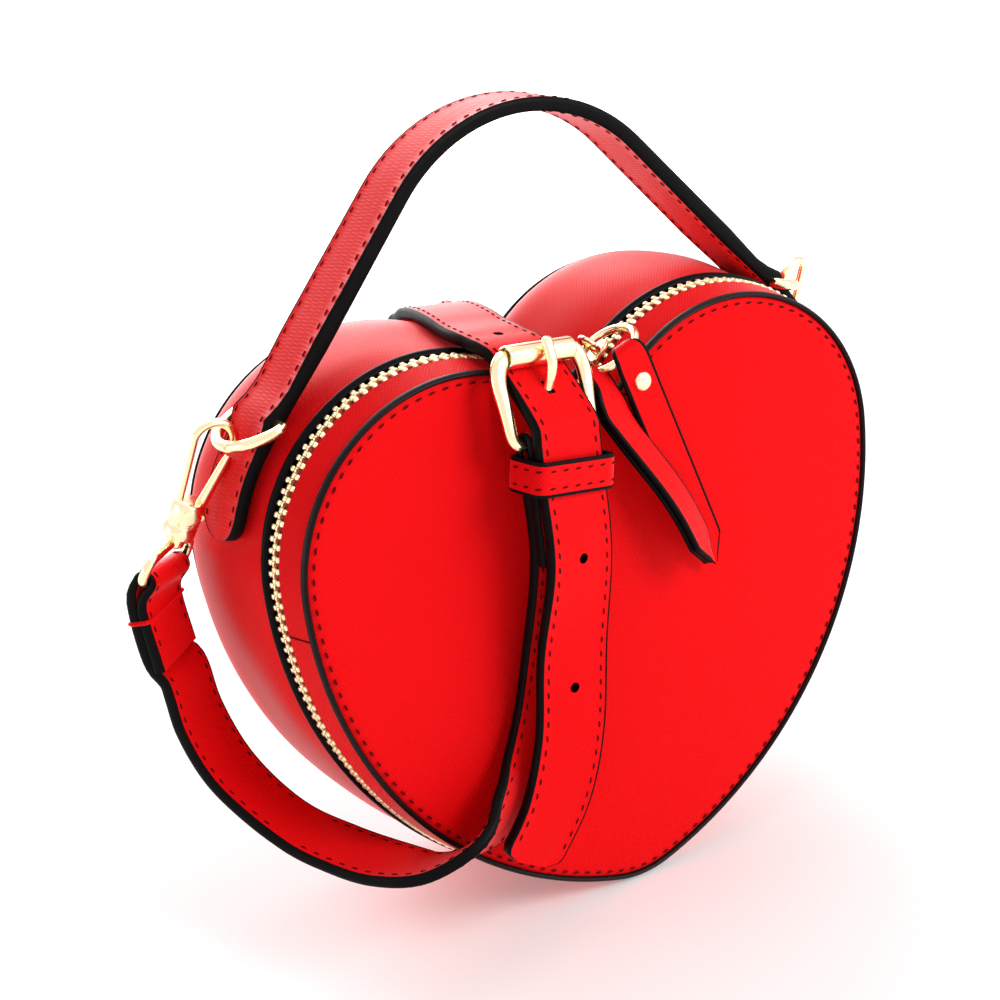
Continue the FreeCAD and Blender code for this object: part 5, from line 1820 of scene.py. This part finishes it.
def blended(piece, first, second, start, end, *nodes):
    """A strap with its transform baked in, standing for CAD nodes, which are hidden; the two bodies and the
    two places are not used.
    """
    if nodes:
        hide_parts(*nodes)
    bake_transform(piece)


def strap_pair(name, route, first, second, start, end, node_name, cutters=(), crossed=False):
    """A stretch of strap and its stitches."""
    piece = strap_piece(name, route)
    for cutter in cutters:
        cut_away(piece, cutter, crossed)
    thread = stitches_piece(name + "_stitches", strap_stitches(route, trim=STRAP_STITCH_TRIM))
    blended(piece, first, second, start, end, node_name)
    blended(thread, first, second, start, end)


def hole_cutter(name, point, way):
    """A punch through the strap."""
    profile = mirrored([(HOLE_REACH, HOLE_RADIUS)])
    return lathe_piece(name, point, way, profile, finishes["paint"], sides=HOLE_SIDES)


class PURSE_OT_loop_strap(bpy.types.Operator):
    """Strap half from the left clasp, round in a hanging loop and up the front to the buckle"""
    bl_idname = "purse.loop_strap"
    bl_label = "Loop strap"

    def execute(self, context):
        b = sizes("buckle")
        s = sizes("strap")
        heart = Heart()
        buckle = Buckle()
        clasp = Clasp("left")
        fold_end = clasp.bar + clasp.down * LEFT_FOLD_START - UPWARD * (s.loop_fold - LEFT_FOLD_LESS)
        stations = clasp_end(clasp, fold_end, LEFT_FLAP_FACE)
        stations += route_stations(heart, LOOP_ROUTE)
        half = buckle.ahead * s.fold_offset
        stations += [station(buckle.low - half, buckle.level), station(buckle.under - half, buckle.level)]
        stations += fold_stations(buckle.bar, buckle.up, -buckle.out, buckle.across, b.hinge_bar)
        stations += [station(buckle.under + half, buckle.level), station(buckle.low + half, buckle.level)]
        route = strap_route(stations)
        split = route.nearest(route_stations(heart, LOOP_ROUTE[4:5])[0][:3])
        start, end = route.part(0, split + 1), route.part(split, None)
        low = route.nearest(route_stations(heart, LOOP_ROUTE[2:3])[0][:3])
        strap_pair("loop_strap_end", start, "ring_left", "bag", clasp.bar, route.centre[low], "buckle_strap")
        flap = route.at_length(TACK_FLAP)
        beyond = route.at_length(TACK_BEYOND)
        held = beyond + int(np.argmin(np.linalg.norm(route.centre[beyond:] - route.centre[flap], axis=1)))
        apart = route.centre[flap] - route.centre[held]
        spot = (route.centre[flap] + route.centre[held]) / 2
        aside = route.across[flap] * (s.width / 2 + TACK_GAP)
        off = unit(apart) * (np.linalg.norm(apart) / 2 + s.thickness / 2)
        corners = [spot + aside * a + off * c for a, c in ((-1, -1), (1, -1), (1, 1), (-1, 1))]
        ring = rounded_ring(corners, TACK_CORNER, TACK_STEP)
        tack = tube_piece("fold_tack", ring, TACK_RADIUS, finishes["leather"], closed=True, sides=TACK_SIDES)
        blended(tack, "ring_left", "bag", clasp.bar, route.centre[low])
        axes = (buckle.across, buckle.up, buckle.out)
        size = (b.prong_eye_width + SLOT_GAP, SLOT_SIZE, SLOT_SIZE)
        slot = slab_piece("prong_slot", buckle.at(0, SLOT_RISE), axes, size, finishes["paint"])
        rise = route_stations(heart, LOOP_ROUTE[10:11])[0][:3]
        strap_pair("loop_strap", end, "bag", "front", route.centre[split], rise, "buckle_strap", [slot], True)
        return {"FINISHED"}


class PURSE_OT_long_strap(bpy.types.Operator):
    """Strap half from the right clasp, behind the bag, over the top, through the buckle and down"""
    bl_idname = "purse.long_strap"
    bl_label = "Long strap"

    def execute(self, context):
        b = sizes("buckle")
        s = sizes("strap")
        heart = Heart()
        buckle = Buckle()
        clasp = Clasp("right")
        behind = route_stations(heart, BACK_ROUTE)
        stations = clasp_end(clasp, behind[0][:3], RIGHT_FLAP_FACE) + behind[1:]
        stations += [top_station(heart, part * heart.half_depth) for part in TOP_RUN]
        below = -(b.roller_radius + b.under_gap + s.thickness / 2)
        fore = buckle.at(0, buckle.reach, below)
        stations.append(station(fore, buckle.across))
        for rise in (TAIL_RISE, 0):
            stations.append(station(buckle.at(0, rise, buckle.tail), buckle.across))
        for point in (buckle.under, buckle.low):
            stations.append(station(point + buckle.ahead * buckle.tail, buckle.level))
        stations += route_stations(heart, TAIL_ROUTE)
        route = strap_route(stations).rounded(False, True, TAIL_CORNER)
        split = route.nearest(behind[5][:3])
        start, end = route.part(0, split + 1), route.part(split, None)
        strap_pair("long_strap_end", start, "ring_right", "bag", clasp.bar, behind[3][:3], "punched_strap")
        run = running(route.centre)
        first = route.nearest(buckle.low + buckle.ahead * buckle.tail)
        roller = route.nearest(fore)
        cutters = []
        spots = (run[first], run[first] + HOLE_PITCH, run[roller] - HOLE_BEHIND_ROLLER)
        for k, spot in enumerate(spots):
            i = route.at_length(spot)
            cutters.append(hole_cutter("hole_%d" % k, route.centre[i], route.through[i]))
        size = (2 * (b.prong_radius - b.strap_gap), PRONG_HOLE_LENGTH, PRONG_HOLE_DEPTH)
        axes = (buckle.across, buckle.up, buckle.out)
        place = buckle.at(0, buckle.reach * PRONG_HOLE_PLACE)
        cutters.append(slab_piece("prong_hole", place, axes, size, finishes["paint"]))
        over = top_station(heart, heart.half_depth)[:3]
        strap_pair("long_strap", end, "bag", "front", over, fore, "punched_strap", cutters)
        return {"FINISHED"}


# Zip sliders and pulls

# One side of a slider's plates: shares of their length and of their half width
SLIDER_SIDE = ((-0.5, -0.62), (-0.32, -0.96), (-0.1, -0.86), (0.16, -1.0), (0.36, -0.86), (0.5, -0.5))
SLIDER_POST = 0.0009
BAIL_STEPS = 28
BAIL_SIDES = 10
RING_STEPS = 56


def hoop_points(centre, radius, way, steps):
    """A round hoop through a direction and the bag's depth."""
    turns = np.linspace(0, 2 * math.pi, steps, endpoint=False)
    return [centre + radius * (way * math.cos(a) + BACKWARD * math.sin(a)) for a in turns]


def slider_piece(name, centre, out, reach, bail):
    """Slider with a waisted top plate, an under plate, a post and a wire bail where asked for."""
    p = sizes("pulls")
    z = sizes("zip")
    along = np.array([out[2], 0.0, -out[0]])
    axes = (along, BACKWARD, out)
    outline = [(a * reach, c * p.slider_half) for a, c in SLIDER_SIDE]
    outline += [(a, -c) for a, c in reversed(outline)]
    top_low = z.tooth_high + p.gap
    under_high = z.tape_growth - z.tape_thickness - p.gap
    pieces = [plate_piece(name + "_top", centre + out * top_low, axes, outline, p.plate),
              plate_piece(name + "_under", centre + out * (under_high - p.plate), axes, outline, p.plate)]
    size = (reach / 4, SLIDER_POST, top_low - under_high + p.plate)
    post = centre + out * (top_low + under_high) / 2
    pieces.append(slab_piece(name + "_post", post, axes, size, finishes["gold"]))
    if bail:
        eye = centre + out * (top_low + p.plate + p.bail_rise)
        hoop = hoop_points(eye, p.bail_radius, out, BAIL_STEPS)
        pieces.append(tube_piece(name + "_bail", hoop, p.bail_wire, finishes["gold"], closed=True,
                                 sides=BAIL_SIDES))
    return merged(name, pieces)


# The front pull's fold. Behind the ring: lengths down it, and places in half depths of the fold.
# Before the ring: the same, and how much narrower than the pull it is.
FOLD_BEHIND = ((0.006, -1.0), (0.003, -0.96), (0.001, -0.58))
FOLD_BEFORE = ((0.001, 0.58, 0.0018), (0.003, 0.96, 0.0006), (0.006, 1.0, 0.0), (0.009, 1.0, 0.0))
# The fold's flap below the pocket, its top with the width that it gains there, and where the layers meet
FLAP_PAST = 0.002
FOLD_TOP = 0.0004
FOLD_TOP_SPREAD = 0.002
MEET_DOWN = 0.012
MEET_PLACE = 0.95
MEET_LAYERS = 1.3
# Lengths down the front pull where it is flat, where its plain stretch starts, and its points
PULL_FLAT = (0.016, 0.020)
PULL_PLAIN = 0.024
PULL_STEPS = 40
PULL_FOLD_STEP = 0.0007
REAR_PULL_STEP = 0.0012
# A pull's blunt point: its length, its width in pull widths, and its end's width
BLUNT_LENGTH = 0.0006
BLUNT_SHARE = 0.16
BLUNT_END = 0.0012
# The rivet's dome: shares of its height and of its radius, over a sunk rim
RIVET_SINK = 0.0002
RIVET_DOME = ((0.25, 1.0), (0.55, 0.93), (0.8, 0.72), (0.95, 0.42), (1.0, 0.15))
# The rear pull's route from the front pull's top: down it, across it, toward the viewer,
# its turn in degrees and its width
REAR_PULL_ROUTE = (
    (0.0045, -0.0092, -0.0060, 34.0, 0.0070),
    (0.0080, -0.0108, -0.0008, 30.0, 0.0085),
    (0.0115, -0.0118, 0.0012, 24.0, 0.0108),
    (0.0150, -0.0121, 0.0019, 24.0, 0.0120),
    (0.0190, -0.0119, 0.0026, 30.0, 0.0120),
    (0.0250, -0.0112, 0.0038, 34.0, 0.0120),
    (0.0330, -0.0100, 0.0060, 36.0, 0.0120),
    (0.0430, -0.0083, 0.0082, 36.0, 0.0120),
    (0.0530, -0.0070, 0.0094, 36.0, 0.0120),
    (0.0640, -0.0063, 0.0099, 36.0, 0.0120),
    (0.0740, -0.0060, 0.0101, 36.0, 0.0120),
)


def pointed(left):
    """Width of a pull at lengths left to its end."""
    p = sizes("pulls")
    return np.interp(left, [0, BLUNT_LENGTH, p.point], [BLUNT_END, p.width * BLUNT_SHARE, p.width])


class PURSE_OT_pulls(bpy.types.Operator):
    """Zip sliders, pull ring, two leather pulls and their rivet"""
    bl_idname = "purse.pulls"
    bl_label = "Pulls"

    def execute(self, context):
        p = sizes("pulls")
        z = sizes("zip")
        heart = Heart()
        gold = finishes["gold"]
        zip_y = z.setback - heart.half_depth
        out = np.array([math.cos(p.slider_angle), 0, math.sin(p.slider_angle)])
        centre = np.array([heart.spread, zip_y, heart.lobe_z]) + out * heart.lobe_radius
        slider = slider_piece("running_slider", centre, out, p.slider_length, True)
        settle(slider, "slider", "gold_metal", "zip_slider_right")
        dip = sizes("heart").dip_radius
        lean = math.asin(p.parked_share * heart.half_width / dip)
        parked_out = np.array([-math.sin(lean), 0, math.cos(lean)])
        parked = np.array([0, zip_y, heart.dip_z]) - parked_out * dip
        slider = slider_piece("parked_slider", parked, parked_out, p.parked_length, False)
        settle(slider, "front", "gold_metal", "zip_slider_left")
        eye = centre + out * (z.tooth_high + p.gap + p.plate + p.bail_rise)
        ring_centre = eye - BACKWARD * p.ring_radius
        side = np.array([math.cos(p.ring_angle), 0, math.sin(p.ring_angle)])
        hoop = hoop_points(ring_centre, p.ring_radius, side, RING_STEPS)
        ring = tube_piece("pull_hoop", hoop, p.ring_wire, gold, closed=True)
        settle(ring, "pull", "gold_metal", "pull_ring")

        across = np.array([math.cos(p.pull_angle), 0, math.sin(p.pull_angle)])
        hang = np.array([across[2], 0, -across[0]])
        wire = ring_centre - BACKWARD * p.ring_radius
        top = wire - hang * (p.ring_wire + p.ring_drop + p.layer)
        flap_end = p.pocket_height + p.layer + FLAP_PAST
        thick = 2 * p.layer
        far = (p.pocket + p.layer) / 2
        face = p.pocket / 2 + p.layer - thick / 2
        rows = [(flap_end, -far, p.tongue, p.layer)]
        rows += [(down, far * part, p.tongue, p.layer) for down, part in FOLD_BEHIND]
        rows.append((FOLD_TOP, 0, p.tongue + FOLD_TOP_SPREAD, p.layer))
        rows += [(down, far * part, p.width - less, p.layer) for down, part, less in FOLD_BEFORE]
        rows.append((MEET_DOWN, far * MEET_PLACE, p.width, p.layer * MEET_LAYERS))
        rows += [(down, face, p.width, thick) for down in PULL_FLAT]
        rows = [[*(top + hang * down - BACKWARD * fore), width, deep] for down, fore, width, deep in rows]
        fold = smooth_rows(rows, PULL_FOLD_STEP)
        downs = np.linspace(PULL_PLAIN, p.reach, PULL_STEPS)
        widths = pointed(p.reach - downs)
        hanging = [[*(top + hang * down - BACKWARD * face), width, thick]
                   for down, width in zip(downs, widths)]
        made = np.vstack([fold, hanging])
        route = Route(made[:, :3], across, made[:, 3], made[:, 4])
        settle(strap_piece("front_pull_leather", route), "tabs", "red_leather", "pull_tab_front")
        seat = top + hang * p.rivet_down - BACKWARD * (p.pocket / 2 + p.layer)
        full, tall = p.rivet_radius, p.rivet_height
        profile = [(-RIVET_SINK, full)] + [(tall * up, full * part) for up, part in RIVET_DOME]
        rivet = lathe_piece("rivet_dome", seat, -BACKWARD, profile, gold)
        settle(rivet, "tabs", "gold_metal", "pull_rivet")
        rows = []
        for down, aside, fore, turn, wide in REAR_PULL_ROUTE:
            turn = math.radians(turn)
            point = top + hang * down + across * aside - BACKWARD * fore
            rows.append([*point, *(across * math.cos(turn) + BACKWARD * math.sin(turn)), wide])
        made = smooth_rows(rows, REAR_PULL_STEP)
        run = running(made[:, :3])
        widths = np.minimum(made[:, 6], pointed(run[-1] - run))
        for word, side in (("outer", 1), ("inner", -1)):
            route = Route(made[:, :3], made[:, 3:6], widths, p.rear_layer)
            route.centre = route.centre + route.through * (side * (p.rear_layer / 2 + p.gap / 4))
            settle(strap_piece("rear_pull_" + word, route), "tabs", "red_leather", "pull_tab_rear")
        return {"FINISHED"}


# Stage

SENSOR_WIDTH = 36.0
FLOOR_SHADE = 0.9
FLOOR_ROUGHNESS = 0.9
# The floor's own glow: distances from the bag, and its strength at both
GLOW_FROM = (0.20, 1.6)
GLOW_LEVEL = (0.18, 0.75)
# Lamps: name, place, size and power, and the point that they face
LAMPS = (
    ("key", (0.45, -1.10, 0.80), 0.60, 10.5),
    ("fill", (0.95, -0.65, 0.55), 0.80, 3.4),
    ("top", (0.10, 0.25, 1.15), 0.90, 4.0),
    ("rear", (0.20, 1.25, 0.65), 1.20, 20.0),
    ("side", (-1.20, 0.30, 0.20), 0.70, 3.0),
)
LAMP_AIM = Vector((0, 0, 0.1))


class PURSE_OT_stage(bpy.types.Operator):
    """Camera, floor, lights and background"""
    bl_idname = "purse.stage"
    bl_label = "Stage"

    def execute(self, context):
        s = sizes("stage")
        scene = bpy.context.scene
        flat = math.cos(s.elevation)
        back = Vector((math.sin(s.azimuth) * flat, -math.cos(s.azimuth) * flat, math.sin(s.elevation)))
        right = (-back).cross(Vector((0, 0, 1))).normalized()
        up = right.cross(-back)
        aim = Vector((0, s.aim_depth, s.aim_height)) + right * s.aim_right + up * s.aim_up
        turned_right = right * math.cos(s.roll) + up * math.sin(s.roll)
        turned_up = up * math.cos(s.roll) - right * math.sin(s.roll)
        data = bpy.data.cameras.new("view")
        data.sensor_width = SENSOR_WIDTH
        data.lens = s.lens
        camera = bpy.data.objects.new("view", data)
        axes = Matrix((turned_right, turned_up, back)).transposed().to_4x4()
        camera.matrix_world = Matrix.Translation(aim + back * s.distance) @ axes
        scene.collection.objects.link(camera)
        scene.camera = camera

        corners = ((-1, -1), (1, -1), (1, 1), (-1, 1))
        mesh = bpy.data.meshes.new("floor")
        mesh.from_pydata([(x * s.floor_reach, y * s.floor_reach, 0) for x, y in corners], [], [(0, 1, 2, 3)])
        material, shader = new_material("pale_floor")
        put(shader, Base_Color=(FLOOR_SHADE, FLOOR_SHADE, FLOOR_SHADE, 1), Roughness=FLOOR_ROUGHNESS,
            Specular_IOR_Level=0.0, Emission_Color=(1, 1, 1, 1))
        spot = node(material, "ShaderNodeNewGeometry")
        far = node(material, "ShaderNodeVectorMath", operation="LENGTH")
        join(material, spot.outputs["Position"], far.inputs[0])
        glow = ramp(material, far.outputs["Value"], *GLOW_LEVEL, interpolation_type="SMOOTHSTEP",
                    From_Min=GLOW_FROM[0], From_Max=GLOW_FROM[1])
        join(material, glow, shader.inputs["Emission Strength"])
        floor = link("floor", mesh, [material])

        world = bpy.data.worlds.new("white_room")
        world.use_nodes = True
        scene.world = world
        ground = world.node_tree.nodes["Background"]
        put(ground, Color=(1, 1, 1, 1))
        rays = node(world, "ShaderNodeLightPath")
        level = ramp(world, rays.outputs["Is Glossy Ray"], s.room_level, s.gloss_level)
        seen = combine(world, "MAXIMUM", level, rays.outputs["Is Camera Ray"])
        join(world, seen, ground.inputs["Strength"])

        for name, place, size, power in LAMPS:
            lamp = bpy.data.lights.new(name, "AREA")
            lamp.size = size
            lamp.energy = power
            holder = bpy.data.objects.new(name, lamp)
            holder.location = place
            holder.rotation_euler = (LAMP_AIM - Vector(place)).to_track_quat("-Z", "Y").to_euler()
            scene.collection.objects.link(holder)
        scene.view_settings.view_transform = "Standard"
        return {"FINISHED"}


class PURSE_PT_pieces(bpy.types.Panel):
    """Settings and operators of the purse"""
    bl_label = "Purse"
    bl_idname = "PURSE_PT_pieces"
    bl_space_type = "VIEW_3D"
    bl_region_type = "UI"
    bl_category = "Purse"

    def draw(self, context):
        for group in GROUPS:
            box = self.layout.box()
            box.label(text=group.__doc__)
            settings = getattr(context.scene, group_key(group))
            for key in group.__annotations__:
                box.prop(settings, key, text=key.replace("_", " ").capitalize())
        for operator in OPERATORS:
            self.layout.operator(operator.bl_idname)


GROUPS = (PurseHeart, PurseSheets, PurseZip, PurseStrap, PurseClasp, PurseBuckle, PursePulls,
          PurseFinish, PurseStage)
OPERATORS = (
    PURSE_OT_stage, PURSE_OT_finishes, PURSE_OT_gusset, PURSE_OT_back, PURSE_OT_lining, PURSE_OT_front,
    PURSE_OT_zip, PURSE_OT_handle, PURSE_OT_clasps, PURSE_OT_buckle, PURSE_OT_loop_strap, PURSE_OT_long_strap,
    PURSE_OT_pulls,
)


def group_key(group):
    """Name under which the scene holds a group of settings."""
    return "purse_" + group.__name__.removeprefix("Purse").lower()


def register():
    for kind in (*GROUPS, *OPERATORS, PURSE_PT_pieces):
        bpy.utils.register_class(kind)
    for group in GROUPS:
        setattr(bpy.types.Scene, group_key(group), PointerProperty(type=group))


def unregister():
    for group in GROUPS:
        delattr(bpy.types.Scene, group_key(group))
    for kind in reversed((*GROUPS, *OPERATORS, PURSE_PT_pieces)):
        bpy.utils.unregister_class(kind)


def main():
    """Register and make every piece in order."""
    register()
    for operator in OPERATORS:
        family, name = operator.bl_idname.split(".")
        getattr(getattr(bpy.ops, family), name)()


if __name__ == "__main__":
    main()
